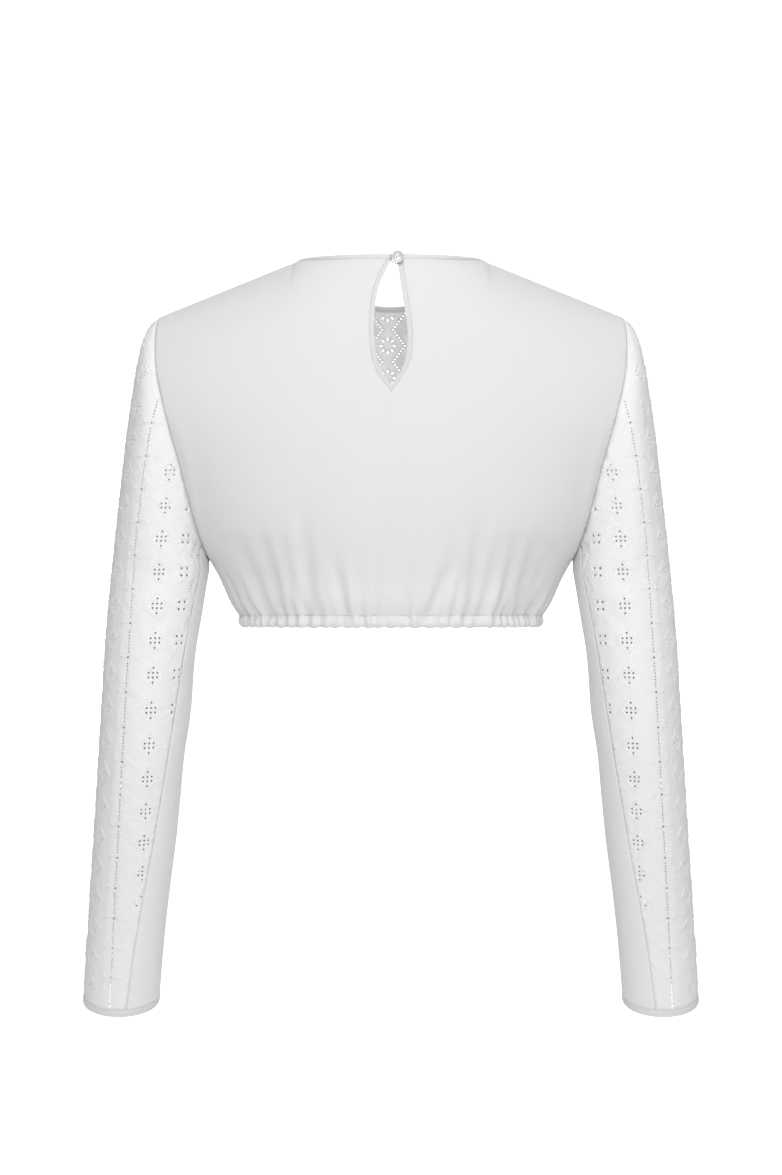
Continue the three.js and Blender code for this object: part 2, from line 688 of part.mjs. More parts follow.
// A prism along Y through the back, over the keyhole's outline let out by `more`.
function keyholePrism(more) {
  const left = keyhole.map((row) => new THREE.Vector2(row.left - more, row.z));
  const right = keyhole.map((row) => new THREE.Vector2(row.right + more, row.z));
  const tip = new THREE.Vector2(KEYHOLE_TIP.x, KEYHOLE_TIP.z - more * TIP_LET_OUT);
  const outline = new THREE.Shape();
  outline.moveTo(left[0].x, left[0].y);
  outline.splineThru(left.slice(1));
  outline.lineTo(tip.x, tip.y);
  outline.lineTo(right.at(-1).x, right.at(-1).y);
  outline.splineThru(right.slice(0, -1).reverse());
  const options = { depth: SLIT.depth, bevelEnabled: false, curveSegments: 2 };
  const prism = new THREE.ExtrudeGeometry(outline, options);
  prism.rotateX(Math.PI / 2);
  prism.translate(0, SLIT.from + SLIT.depth, 0);
  return solid(prism);
}

// The flat two-hole button with its thread shank, facing -Y, with its back at `seat`.
function buttonGeometry(seat) {
  const b = BUTTON;
  const front = SHANK.length + b.thickness;
  const profile = [
    [0, 0],
    [SHANK.radius, 0],
    [SHANK.radius, SHANK.length],
    [b.radius - b.round, SHANK.length],
    [b.radius, SHANK.length + b.round],
    [b.radius, front - b.round],
    [b.radius - b.round / 2, front],
    [b.radius - b.rim, front],
    [b.radius - b.rim - b.round, front - b.dish],
    [0, front - b.dish],
  ].map(([r, h]) => new THREE.Vector2(r, h));
  let disc = solid(new THREE.LatheGeometry(profile, 20));
  for (const x of [-HOLES.apart / 2, HOLES.apart / 2]) {
    const drill = new THREE.CylinderGeometry(HOLES.radius, HOLES.radius, b.thickness, 10);
    drill.translate(x, front, 0);
    drill.rotateY(HOLES_TILT);
    disc = disc.subtract(solid(drill));
  }
  const geometry = geometryOf(disc);
  geometry.rotateX(Math.PI);
  geometry.translate(b.x, seat, b.z);
  return geometry;
}

// How far back the cloth's outer face lies at a height near the nape.
const napeFace = (z) => -(NECK_BACK_DEPTH - NAPE_SLOPE * z) - BAND_RISE;

// The thread loop that holds the button: from the left of the slit, under the button's left and
// lower rim, to the cloth on its right. Angles are in degrees, anticlockwise as seen from behind.
function loopGeometry() {
  const points = [];
  for (let angle = LOOP.from; angle <= LOOP.to; angle += LOOP.apart) {
    const x = BUTTON.x + LOOP.radius * Math.cos(degrees(angle));
    const z = BUTTON.z + LOOP.radius * Math.sin(degrees(angle));
    points.push(new THREE.Vector3(x, napeFace(z - LOOP.cordRadius) - SEAM_GAP - LOOP.cordRadius, z));
  }
  const section = new THREE.Shape();
  section.absarc(0, 0, LOOP.cordRadius, 0, 2 * Math.PI);
  const extrudePath = new THREE.CatmullRomCurve3(points);
  const options = { extrudePath, steps: 12, curveSegments: 4, bevelEnabled: false };
  return new THREE.ExtrudeGeometry(section, options);
}

const blouse = new THREE.Group();
function add(name, geometry, color = 0xf3f2ef, roughness = 0.9) {
  const flat = geometry.index ? geometry.toNonIndexed() : geometry;
  flat.computeVertexNormals();
  const mesh = new THREE.Mesh(flat, new THREE.MeshStandardMaterial({ color, roughness, metalness: 0 }));
  mesh.name = name;
  blouse.add(mesh);
}

const backWall = solid(cloth(panelRows("back")));
const thickBack = solid(cloth(panelRows("back", BAND_RISE, BAND_WALL, BINDING_ROWS)));
const slit = keyholePrism(0);
add("back_panel", geometryOf(backWall.subtract(keyholePrism(KEYHOLE_BINDING + SEAM_GAP))));
add("keyhole_binding", geometryOf(thickBack.intersect(keyholePrism(KEYHOLE_BINDING)).subtract(slit)));
add("front_panel", cloth(panelRows("front")));
const bandBack = solid(cloth(neckBandRows("back"))).subtract(slit);
bandBack.decompose().forEach((part) => {
  const box = part.boundingBox();
  add(box.min[0] + box.max[0] < 0 ? "neck_band_back_left" : "neck_band_back_right", geometryOf(part));
});
add("neck_band_front", cloth(neckBandRows("front")));
add("casing_back", cloth(casingRows("back")));
add("casing_front", cloth(casingRows("front")));
for (const [name, mirror] of [["left", -1], ["right", 1]]) {
  add("sleeve_outer_" + name, cloth(sleeveRows("outer", mirror)));
  add("sleeve_under_" + name, cloth(sleeveRows("under", mirror)), 0xf0efec);
  add("cuff_hem_" + name, cloth(cuffRows(mirror), true));
}
const seat = napeFace(BUTTON.z - SHANK.radius) - SEAM_GAP;
add("button", buttonGeometry(seat), 0xecebe6, 0.35);
add("button_loop", loopGeometry());

export default blouse;
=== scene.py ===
"""Looks of a dirndl blouse: thin cotton shells, cut eyelets, satin stitches, seams, button and loop.

Every surface is a function of two numbers, worked out with numpy as whole arrays, in millimetres.
`across` runs over a piece from -1 to 1, and `level` is the depth below the neck-shoulder points.
"""

import bpy
import numpy as np
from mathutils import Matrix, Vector
from mathutils.geometry import delaunay_2d_cdt


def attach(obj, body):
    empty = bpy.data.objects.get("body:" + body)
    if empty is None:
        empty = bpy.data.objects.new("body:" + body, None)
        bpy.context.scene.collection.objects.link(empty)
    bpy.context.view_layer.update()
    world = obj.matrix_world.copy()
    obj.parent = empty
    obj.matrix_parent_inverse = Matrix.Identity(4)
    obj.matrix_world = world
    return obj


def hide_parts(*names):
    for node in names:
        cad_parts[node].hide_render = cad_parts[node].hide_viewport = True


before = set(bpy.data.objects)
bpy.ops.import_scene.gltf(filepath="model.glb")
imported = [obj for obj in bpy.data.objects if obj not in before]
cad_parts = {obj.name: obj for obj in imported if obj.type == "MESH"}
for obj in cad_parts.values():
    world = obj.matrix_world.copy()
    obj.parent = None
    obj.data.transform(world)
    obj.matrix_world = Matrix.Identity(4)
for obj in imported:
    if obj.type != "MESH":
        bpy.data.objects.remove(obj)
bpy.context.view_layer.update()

MM = 0.001
BODY = "root"

# Neckline, shoulders and body, as in the frame
NECK_HALF_WIDTH = 78
NECK_DEPTH = {"back": 60, "front": 75}
NECK_DROP = {"back": 0, "front": 35}
NECK_LEAN = {"back": 0.42, "front": 0.38}
NECK_FALL = 0.92
NECK_DIP_POWER = 1.6
NECK_BAND = 4
SEAM_GAP = 0.3
TIP_X = 196.6
TIP_Y = 2
TIP_Z = -48.4
SHOULDER_SLOPE = np.radians(22.2)
SHOULDER_ROUNDING = 70
UNDERARM_Z = -261
HEM_Z = -310
CASING_HEIGHT = 9.5
CUFF_HEM = 6
BUST = {"apart": 82, "height": -225, "spread": 46, "rise": 7}
FACING = {"back": -1, "front": 1}
SHELL = 0.45

TORSO_STEP = 40
TORSO = {
    "back": [60, 78.5, 92, 101, 106.5, 107.5, 104, 97, 89],
    "front": [64, 77, 90, 102.5, 113.5, 121, 122.5, 112, 95],
}
WRAP = [50, 57, 64, 73, 90]

# Seam lines of the wearer's right: columns x, y, z
ARMHOLE = {
    "back": [
        (196.6, 2, -48.4), (200.6, -14, -51.5), (202.8, -29, -62), (202.8, -43, -82),
        (200.5, -53, -104), (192, -59, -141), (180.5, -53, -182), (169, -37, -228),
        (161, -15, -254), (158, 5, -261),
    ],
    "front": [
        (196.6, 2, -48.4), (198.5, 16, -53), (195, 34, -72), (187, 47, -105), (179, 52, -145),
        (172, 49, -185), (166, 38, -222), (160.5, 20, -250), (158, 5, -261),
    ],
}
SIDE_SEAM = [(158, 5, -261), (151.6, 5, -272), (145, 4, -284.5), (137.5, 3, -298), (130.3, 2.5, -309.7)]

# Sleeve cap: share of the way out for each share of the way down
CAP_OUT = [0, 0.16, 0.28, 0.37, 0.47, 0.58, 0.69, 0.79, 0.9, 1]
CAP_DOWN = [0, 0.025, 0.062, 0.115, 0.205, 0.33, 0.48, 0.64, 0.82, 1]
CAP_FULLNESS = {"out": 4.8, "deep": 2.4}
UNDERARM_REACH = 30

# Rings of the arm: columns z, x, y, lean, half_width, half_depth, seam_back, seam_front
ARM_COLUMNS = ("z", "x", "y", "lean", "half_width", "half_depth", "seam_back", "seam_front")
ARM = np.array([
    (-269.8, 200.6, 4, 0, 42.5, 54, 149, 149),
    (-300, 204.8, 4, 1, 41.3, 53, 146, 148),
    (-335, 208.8, 4.8, 3, 40.2, 51.5, 142, 147),
    (-374.4, 212.3, 7, 6, 39.2, 50, 137, 146),
    (-418.2, 216.4, 13, 11, 38.2, 48, 131, 145),
    (-462.4, 220.8, 23, 14, 37.2, 45.5, 125, 144),
    (-507.1, 225.2, 35, 16, 36.5, 43, 118, 143),
    (-552.2, 230.5, 48.5, 17, 35.3, 40.5, 112, 142),
    (-597.7, 235.5, 63, 18, 34.6, 38, 106, 141),
    (-653.1, 240.5, 82, 19, 33.9, 35.5, 100, 140),
])
BICEPS_LEVEL = 269.8
CUFF_LEVEL = 653.1

# Gathers of the back above the casing: columns place across at the hem, depth, reach
BACK_GATHERS = [
    (-129.6, 1.6, 35), (-127.4, 2, 40), (-123.5, 2.5, 60), (-114.8, 2, 50), (-105.3, 1.6, 35),
    (-94.9, 2.2, 75), (-82.8, 1.6, 30), (-73.2, 2, 55), (-58.5, 1.8, 30), (-48.1, 1.5, 24),
    (-39.4, 2.2, 45), (-23.8, 1.2, 25), (-14.3, 1.8, 76), (-2.2, 1.2, 22), (13.4, 1.8, 35),
    (23, 1.1, 25), (34.2, 1.2, 22), (42.9, 1.8, 45), (52.4, 1.6, 60), (65.4, 1.2, 30),
    (77.6, 2, 75), (88, 1.6, 60), (98.4, 1.8, 45), (109.6, 2.2, 60), (119.2, 2.4, 50),
    (126.4, 2, 40), (129.3, 1.6, 35),
]
FRONT_GATHERS = 27

# Larger soft folds of a panel: columns x and height where it begins, x and height where it is
# deepest, half width, depth
BACK_FOLDS = [
    (-64, -150, -54, -303, 13, 0.35),
    (6, -110, 0, -303, 15, 0.45),
    (66, -140, 56, -303, 12, 0.35),
    (-136, -232, -107, -303, 6, 2.2),
    (-116, -222, -96, -300, 6.5, 1.9),
    (-96, -214, -84, -303, 6, 1.1),
    (-78, -190, -70, -303, 7, 1.9),
    (-50, -246, -41, -301, 5, 1.3),
    (-28, -236, -25, -296, 6, 0.7),
    (-9, -205, -13, -301, 5.5, 1.0),
    (16, -252, 13, -300, 6, 0.8),
    (58, -250, 36, -301, 5.5, 1.5),
    (81, -190, 70, -298, 7, 1.7),
    (97, -226, 78, -303, 5.5, 1.5),
    (112, -214, 98, -303, 6.5, 1.3),
    (130, -226, 112, -297, 6.5, 2.0),
    (138, -246, 120, -303, 5, 1.4),
]
FRONT_FOLDS = [
    (-138, -230, -110, -303, 6, 2.0),
    (-112, -236, -94, -303, 6.5, 1.6),
    (-84, -240, -74, -302, 7, 2.4),
    (-62, -246, -55, -303, 5.5, 1.5),
    (-36, -232, -33, -300, 6, 1.3),
    (-6, -222, -9, -301, 7, 1.5),
    (24, -238, 20, -302, 5.5, 1.2),
    (52, -244, 45, -303, 6, 1.9),
    (80, -240, 72, -303, 7, 2.3),
    (108, -232, 93, -301, 6, 1.7),
    (134, -228, 112, -303, 6.5, 2.1),
]
# Soft folds of a sleeve on its flat cloth: columns width and length where it begins, the same where
# it ends, half width, depth
SLEEVE_FOLDS = [
    (18, 262, -22, 300, 7, 1.2),
    (22, 296, -12, 330, 6, 1.0),
    (-40, 96, -58, 190, 9, 1.1),
    (-118, 110, -104, 210, 9, 1.2),
    (-88, 86, -82, 150, 8, 0.9),
    (-140, 330, -100, 372, 7, 1.1),
    (-148, 392, -104, 412, 6, 1.5),
    (-142, 432, -112, 446, 6, 1.3),
    (-30, 430, -64, 470, 8, 0.8),
    (-90, 560, -60, 610, 8, 0.9),
    (-8, 580, -34, 628, 7, 0.8),
]
# The pressed line down the sleeve, just outside the line of small eyelets
PRESSED_LINE = {"width": -31, "half": 1.6, "rise": 0.5, "from": 130, "to": 660, "margin": 60}

# Keyhole: columns height, left edge, right edge
KEYHOLE = [
    (4, 1.4, 3.8), (-3, 1.4, 4), (-9, -1.5, 5.8), (-18, -6.2, 7), (-30, -10.6, 8.8), (-45, -13.3, 11),
    (-64, -14.2, 13.5), (-80, -13.4, 13.6), (-94, -11.2, 11.6), (-104, -7, 7),
]
KEYHOLE_TIP = (0.4, -113.4)
BINDING = 4.6
TIP_LET_OUT = 1.6

# Button and loop
BUTTON = {"x": 5.9, "z": -2.9, "radius": 5.4, "thickness": 2.2}
# The button's face: columns radius, height
BUTTON_FACE = [
    (0, -0.75), (3.3, -0.7), (3.7, -0.45), (4.05, -0.1), (4.4, 0), (4.8, -0.02), (5.15, -0.2), (5.4, -0.65),
]
HOLES = {"radius": 0.8, "apart": 3.2}
HOLES_TILT = np.radians(16)
SHANK = {"radius": 1.3, "length": 2.2}
LOOP = {"cord": 0.5, "radius": 6.3, "from": 165, "to": 305}
NAPE_SLOPE = 0.47

# Eyelet embroidery: columns of motifs over the cloth's width and rows down its length
COLUMN = 23.5
ROW = 28.3
REPEAT = ("flower", "leaf", "diamond", "dotted", "diamond", "leaf")
HALF_DROP = {"flower", "dotted"}


# Reading of tables and curves


def smooth_read(rows, share):
    """A cubic between evenly spaced rows; each row's slope is half the step over its neighbours."""
    rows = np.asarray(rows, float)
    last = len(rows) - 1
    place = np.clip(share, 0, 1) * last
    i = np.minimum(np.floor(place).astype(int), last - 1)
    t = place - i
    rows = np.concatenate([[2 * rows[0] - rows[1]], rows, [2 * rows[-1] - rows[-2]]])
    a, b = rows[i + 1], rows[i + 2]
    slope_a, slope_b = (b - rows[i]) / 2, (rows[i + 3] - a) / 2
    ends = a * (2 * t**3 - 3 * t**2 + 1) + b * (3 * t**2 - 2 * t**3)
    return ends + slope_a * (t**3 - 2 * t**2 + t) + slope_b * (t**3 - t**2)


def seam_curve(points, steps=60):
    """A smooth curve through uneven points, with knots set by the root of each distance, read at
    equal steps between the points. Returns the share of the length at each sample, and the samples."""
    p = np.asarray(points, float)
    p = np.vstack([2 * p[0] - p[1], p, 2 * p[-1] - p[-2]])
    gap = np.sqrt(np.linalg.norm(np.diff(p, axis=0), axis=1))[:, None]
    slope = np.diff(p, axis=0) / gap
    bend = (p[2:] - p[:-2]) / (gap[:-1] + gap[1:])
    tangent = slope[:-1] - bend + slope[1:]
    t = np.linspace(0, 1, steps, endpoint=False)[None, :, None]
    a, b = p[1:-2, None], p[2:-1, None]
    run = gap[1:-1, None]
    out, into = tangent[:-1, None] * run, tangent[1:, None] * run
    curve = a * (2 * t**3 - 3 * t**2 + 1) + b * (3 * t**2 - 2 * t**3)
    curve = curve + out * (t**3 - 2 * t**2 + t) + into * (t**3 - t**2)
    curve = np.vstack([curve.reshape(-1, 3), p[-2]])
    length = np.concatenate([[0], np.cumsum(np.linalg.norm(np.diff(curve, axis=0), axis=1))])
    return length / length[-1], curve, length[-1]


def window(value, low, high, soft):
    """One between low and high, fading over a soft margin."""
    rise = np.clip((value - low) / soft, 0, 1)
    fall = np.clip((high - value) / soft, 0, 1)
    return rise**2 * (3 - 2 * rise) * fall**2 * (3 - 2 * fall)


ARMHOLE_CURVE = {side: seam_curve(rows) for side, rows in ARMHOLE.items()}
UNDER_FROM = {side: 1 - UNDERARM_REACH / ARMHOLE_CURVE[side][2] for side in ARMHOLE}


def armhole_at(side, share):
    """The point of an armhole at a share of its length from the shoulder tip."""
    at, curve, _ = ARMHOLE_CURVE[side]
    return [np.interp(share, at, curve[:, k]) for k in range(3)]


def side_edge(side, z):
    """A panel's edge, x and y for each height: the armhole, and the side seam under it."""
    _, curve, _ = ARMHOLE_CURVE[side]
    rows = np.vstack([curve, seam_samples()[1:]])
    depth = np.maximum.accumulate(-rows[:, 2])
    return np.interp(-z, depth, rows[:, 0]), np.interp(-z, depth, rows[:, 1])


def seam_samples():
    """The side seam, read smoothly from its rows."""
    table = np.asarray(SIDE_SEAM, float)
    share = np.linspace(0, 1, 80)
    return np.stack([smooth_read(table[:, k], share) for k in range(3)], axis=1)


# Surfaces


TOP_WRAP = np.radians(WRAP[0])
CORNER_REACH = NECK_HALF_WIDTH + (NECK_BAND + SEAM_GAP) * np.cos(SHOULDER_SLOPE)


def neckline(side, turn, down):
    """A point below the neckline's edge: an ellipse in plan from the centre (turn 0) to the shoulder
    seam (turn 90 degrees), whose edge steps down the cloth."""
    outward, centre = np.sin(turn), np.abs(np.cos(turn))
    lift = down * (NECK_FALL * centre**2 + np.sin(SHOULDER_SLOPE) * outward**2)
    x = (NECK_HALF_WIDTH + down * np.cos(SHOULDER_SLOPE)) * outward
    y = FACING[side] * (NECK_DEPTH[side] + NECK_LEAN[side] * down) * centre
    return x, y, -NECK_DROP[side] * centre**NECK_DIP_POWER - lift


def top_edge(side, across):
    """The top edge of a panel: the neckline's lower edge, then the straight shoulder seam."""
    x = TIP_X * np.sin(across * TOP_WRAP) / np.sin(TOP_WRAP)
    turn = np.arcsin(np.clip(x / CORNER_REACH, 0, 1))
    _, neck_y, neck_z = neckline(side, turn, NECK_BAND + SEAM_GAP)
    along = (x - CORNER_REACH) / (TIP_X - CORNER_REACH)
    slope_z = -(x - NECK_HALF_WIDTH) * np.tan(SHOULDER_SLOPE)
    inside = x <= CORNER_REACH
    return np.where(inside, neck_y, TIP_Y * along), np.where(inside, neck_z, slope_z)


def torso_depth(side, z):
    """The depth of the torso at its centre line, smooth through rows 40 mm apart."""
    return FACING[side] * smooth_read(TORSO[side], -z / (TORSO_STEP * (len(TORSO[side]) - 1)))


def bell(across, turn):
    """One at the centre and nought at the edge, after the cosine of the turn."""
    return (np.cos(across * turn) - np.cos(turn)) / (1 - np.cos(turn))


def read_beside(surface, across, step, level):
    """A surface read a step to the side, but not past its ends."""
    return surface(np.clip(across + step, -1, 1), level)


UNDERARM_EASE = {"from": 232, "to": 294, "margin": 14, "steps": (-15, -10, -5, 0, 5, 10, 15)}
CORNER_EASE = {"below_edge": 3, "from": -40, "to": 130, "margin": 30,
               "steps": (-0.09, -0.06, -0.03, 0, 0.03, 0.06, 0.09)}


def panel(side):
    """A front or back panel. Each level is an arc from the centre's depth to the side edge; near the
    top it bends to the neckline and shoulder seam, by an amount that fades in a quarter circle."""

    def surface(across, level):
        """The arcs, averaged sideways under the neckline, so that its corners leave no crease, and
        with their neighbours above and below near the underarm, so that the cloth rounds over where
        the armhole ends."""
        points = arcs(across, level)
        below = level + top_edge(side, np.minimum(np.abs(across), 1))[1] - CORNER_EASE["below_edge"]
        ease = np.clip(below / CORNER_EASE["margin"], 0, 1) * (1 - np.minimum(np.abs(across), 1) ** 6)
        ease = ease * window(level, CORNER_EASE["from"], CORNER_EASE["to"], CORNER_EASE["margin"])
        near = ease > 0
        if near.any():
            a, l = across[near], level[near]
            mean = np.mean([read_beside(arcs, a, step, l) for step in CORNER_EASE["steps"]], axis=0)
            points[near, 1] += (mean[:, 1] - points[near, 1]) * ease[near]
        ease = window(level, UNDERARM_EASE["from"], UNDERARM_EASE["to"], UNDERARM_EASE["margin"])
        ease = ease * (1 - np.minimum(np.abs(across), 1) ** 8)
        near = ease > 0
        if near.any():
            a, l = across[near], level[near]
            mean = np.mean([arcs(a, l + step) for step in UNDERARM_EASE["steps"]], axis=0)
            points[near] += (mean - points[near]) * ease[near, None]
        return points

    def arcs(across, level):
        """The plain arcs: depth at the centre, side edge, and the bend to the top edge."""
        a, z = np.abs(across), -level
        top_y, top_z = top_edge(side, np.minimum(a, 1))
        centre_top = top_edge(side, np.zeros(1))[1]
        upper = z > UNDERARM_Z
        fall = np.where(upper, np.clip((top_z - z) / (top_z - UNDERARM_Z), 0, 1), 1)
        edge_z = np.where(upper, TIP_Z + (UNDERARM_Z - TIP_Z) * fall, z)
        edge_x, edge_y = side_edge(side, edge_z)
        turn = np.where(upper, np.radians(smooth_read(WRAP, fall)), np.pi / 2)
        centre_z = np.where(upper, centre_top + (UNDERARM_Z - centre_top) * fall, z)
        y = edge_y + (torso_depth(side, centre_z) - edge_y) * bell(a, turn)
        drop = (centre_top - UNDERARM_Z) * fall / SHOULDER_ROUNDING
        plain = TIP_Y + (torso_depth(side, centre_top) - TIP_Y) * bell(a, TOP_WRAP)
        y = y + (top_y - plain) * (1 - np.sqrt(1 - (1 - np.minimum(drop, 1)) ** 2))
        x = edge_x * np.sin(a * turn) / np.sin(turn)
        if side == "front":
            near = ((x - BUST["apart"]) ** 2 + (z - BUST["height"]) ** 2) / BUST["spread"] ** 2
            y = y + BUST["rise"] * np.exp(-near) * bell(a, turn)
        return np.stack([np.sign(across) * x, y, np.minimum(z, top_z)], axis=-1)

    return surface


DENSE = np.linspace(0, 1, 400)
ARM_DENSE = {name: smooth_read(ARM[:, k], DENSE) for k, name in enumerate(ARM_COLUMNS)}
CAP_DOWN_DENSE = smooth_read(CAP_DOWN, DENSE)


def sleeve_half(side, share, level):
    """The back or front half of the right sleeve. Over the cap, each level runs from the armhole out
    to the biceps ring; along the arm it is an ellipse whose plane leans."""
    start = armhole_at(side, share)
    place = np.interp(level, -ARM_DENSE["z"], DENSE)
    ring = {name: smooth_read(ARM[:, k], place) for k, name in enumerate(ARM_COLUMNS)}
    seam = np.radians(ring["seam_back" if side == "back" else "seam_front"])
    begin = UNDER_FROM[side]
    under = seam + (share - begin) / (1 - begin) * (np.pi - seam)
    around = np.where(share < begin, seam * share / begin, under)
    lean = np.radians(ring["lean"])
    deep = FACING[side] * ring["half_depth"] * np.sin(around)
    x = ring["x"] + ring["half_width"] * np.cos(around)
    y = ring["y"] + deep * np.cos(lean)
    z = ring["z"] + deep * np.sin(lean)
    down = np.clip((start[2] + level) / (start[2] + BICEPS_LEVEL), 0, 1)
    step = np.interp(down, CAP_DOWN_DENSE, DENSE)
    full = np.sin(around) ** 2 * 4 * step * (1 - step)
    out = smooth_read(CAP_OUT, step)
    cap_x = start[0] + (x - start[0]) * out + full * CAP_FULLNESS["out"]
    cap_y = start[1] + (y - start[1]) * down + FACING[side] * full * CAP_FULLNESS["deep"]
    over = level < BICEPS_LEVEL
    z = np.where(over, np.minimum(-level, start[2]), z)
    return np.stack([np.where(over, cap_x, x), np.where(over, cap_y, y), z], axis=-1)


def sleeve(across, level):
    """The right sleeve, with its front half at negative `across` and its back half at positive."""
    share = np.abs(across)
    back = sleeve_half("back", share, level)
    front = sleeve_half("front", share, level)
    return np.where((across > 0)[..., None], back, front)


def outward_of(surface):
    """Unit normals of a surface, from its slopes over small steps. A piece's sign turns them out."""
    step_across, step_level = 2e-3, 0.4

    def normals(across, level):
        """The cross product of the two slopes, at unit length."""
        du = surface(across + step_across, level) - surface(across - step_across, level)
        dv = surface(across, level + step_level) - surface(across, level - step_level)
        n = np.cross(du, dv)
        return n / np.maximum(np.linalg.norm(n, axis=-1, keepdims=True), 1e-12)

    return normals


# Flat cloth: width and length in millimetres, as it was cut


# The table behind a flat cut: step between levels, how far across it reaches, places across
CUT_TABLE = {"step": 2.0, "reach": 1.06, "places": 213}
# A level needs this many places on the cloth, and its slope at an edge is read over this many
FEWEST = 8
EDGE_RUN = 3


def same_length(level):
    """The run of a piece whose cloth hangs straight down."""
    return level


class FlatCloth:
    """The flat cut of a piece. At each level the width grows by the arc length round the piece, from
    a grain line; the length grows with the level, or with a given run along the arm. Beyond
    `ease_from` the cloth is cut a little fuller and eased in."""

    def __init__(self, surface, top_level, bottom_level, first_level_at, grain, run=same_length,
                 ease_from=-1e9, ease=1.0):
        self.levels = np.arange(top_level, bottom_level + CUT_TABLE["step"], CUT_TABLE["step"])
        self.across = np.linspace(-CUT_TABLE["reach"], CUT_TABLE["reach"], CUT_TABLE["places"])
        a, l = np.meshgrid(self.across, self.levels)
        points = surface(a, l)
        width = np.zeros(a.shape)
        width[:, 1:] = np.cumsum(np.linalg.norm(np.diff(points, axis=1), axis=2), axis=1)
        begins = first_level_at(self.across)
        middle = len(self.across) // 2
        for i, level in enumerate(self.levels):
            good = np.flatnonzero((begins <= level) & (np.abs(self.across) <= 1))
            if len(good) < FEWEST:
                good = np.arange(middle - FEWEST // 2, middle + FEWEST // 2 + 1)
            lo, hi = good[0], good[-1]
            left = (width[i, lo + EDGE_RUN] - width[i, lo]) / EDGE_RUN
            right = (width[i, hi] - width[i, hi - EDGE_RUN]) / EDGE_RUN
            width[i, :lo] = width[i, lo] - left * np.arange(lo, 0, -1)
            width[i, hi + 1:] = width[i, hi] + right * np.arange(1, len(self.across) - hi)
            width[i] += grain(self.across, width[i], points[i], level)
            width[i] = np.where(width[i] < ease_from, ease_from + (width[i] - ease_from) * ease, width[i])
        self.width = width
        self.wide = np.arange(np.floor(width.min()), np.ceil(width.max()) + 1)
        self.back = np.array([np.interp(self.wide, row, self.across) for row in width])
        self.run = run
        self.runs = self.run(self.levels)

    def between(self, table, rows, columns, r, c):
        """A table read between its rows and columns."""
        i = np.clip(np.searchsorted(rows, r) - 1, 0, len(rows) - 2)
        j = np.clip(np.searchsorted(columns, c) - 1, 0, len(columns) - 2)
        f = np.clip((r - rows[i]) / (rows[i + 1] - rows[i]), 0, 1)
        g = np.clip((c - columns[j]) / (columns[j + 1] - columns[j]), 0, 1)
        upper = table[i, j] * (1 - g) + table[i, j + 1] * g
        lower = table[i + 1, j] * (1 - g) + table[i + 1, j + 1] * g
        return upper * (1 - f) + lower * f

    def flat(self, across, level):
        """Width and length of a place on the piece."""
        return np.stack([self.between(self.width, self.levels, self.across, level, across),
                         self.run(level)], axis=-1)

    def cut_out(self, across, level):
        """Takes the outline, given by its places on the piece, and notes how far each place of the
        table lies from it. Returns the flat outline."""
        outline = self.flat(across, level)
        good = np.linalg.norm(outline - np.roll(outline, 1, axis=0), axis=1) > 0.25
        self.edge_places = across[good], level[good]
        a, l = np.meshgrid(self.across, self.levels)
        near, _ = distance_to(self.flat(a.ravel(), l.ravel()), outline[good])
        self.gap = near.reshape(a.shape)
        return outline[good]

    def edge_gap(self, across, level):
        """The distance from a place to the cut edge."""
        return self.between(self.gap, self.levels, self.across, level, across)

    def place(self, flat):
        """Across and level of a flat point."""
        level = np.interp(flat[:, 1], self.runs, self.levels)
        return self.between(self.back, self.levels, self.wide, level, flat[:, 0]), level


def distance_to(points, corners):
    """How far each flat point lies from a closed outline, and whether it is inside."""
    a, b = corners, np.roll(corners, -1, axis=0)
    ab = b - a
    near = np.full(len(points), 1e9)
    inside = np.zeros(len(points), bool)
    for start in range(0, len(points), 4000):
        p = points[start:start + 4000, None]
        t = np.clip(((p - a) * ab).sum(-1) / np.maximum((ab * ab).sum(-1), 1e-12), 0, 1)
        gap = np.linalg.norm(p - (a + ab * t[..., None]), axis=-1)
        near[start:start + 4000] = gap.min(axis=1)
        rises = (a[:, 1] > p[..., 1]) != (b[:, 1] > p[..., 1])
        height = np.where(rises, b[:, 1] - a[:, 1], 1)
        x = a[:, 0] + (p[..., 1] - a[:, 1]) * ab[:, 0] / height
        inside[start:start + 4000] = (rises & (p[..., 0] < x)).sum(axis=1) % 2 == 1
    return near, inside


def signed_area(corners):
    """The area inside a closed flat outline, by the shoelace sum; below nought when it runs clockwise."""
    x, y = corners[:, 0], corners[:, 1]
    return (np.dot(x, np.roll(y, -1)) - np.dot(y, np.roll(x, -1))) / 2


def area_of(corners):
    """The area inside a closed flat outline."""
    return abs(signed_area(corners))


def lattice(corners, pitch, keep_from_edge):
    """Points in offset rows inside an outline."""
    low, high = corners.min(axis=0), corners.max(axis=0)
    rows = np.arange(low[1] + pitch / 2, high[1], pitch * 0.87)
    columns = np.arange(low[0] + pitch / 2, high[0], pitch)
    x, y = np.meshgrid(columns, rows)
    x = x + (np.arange(len(rows)) % 2)[:, None] * pitch / 2
    points = np.stack([x.ravel(), y.ravel()], axis=1)
    near, inside = distance_to(points, corners)
    return points[inside & (near > keep_from_edge)]


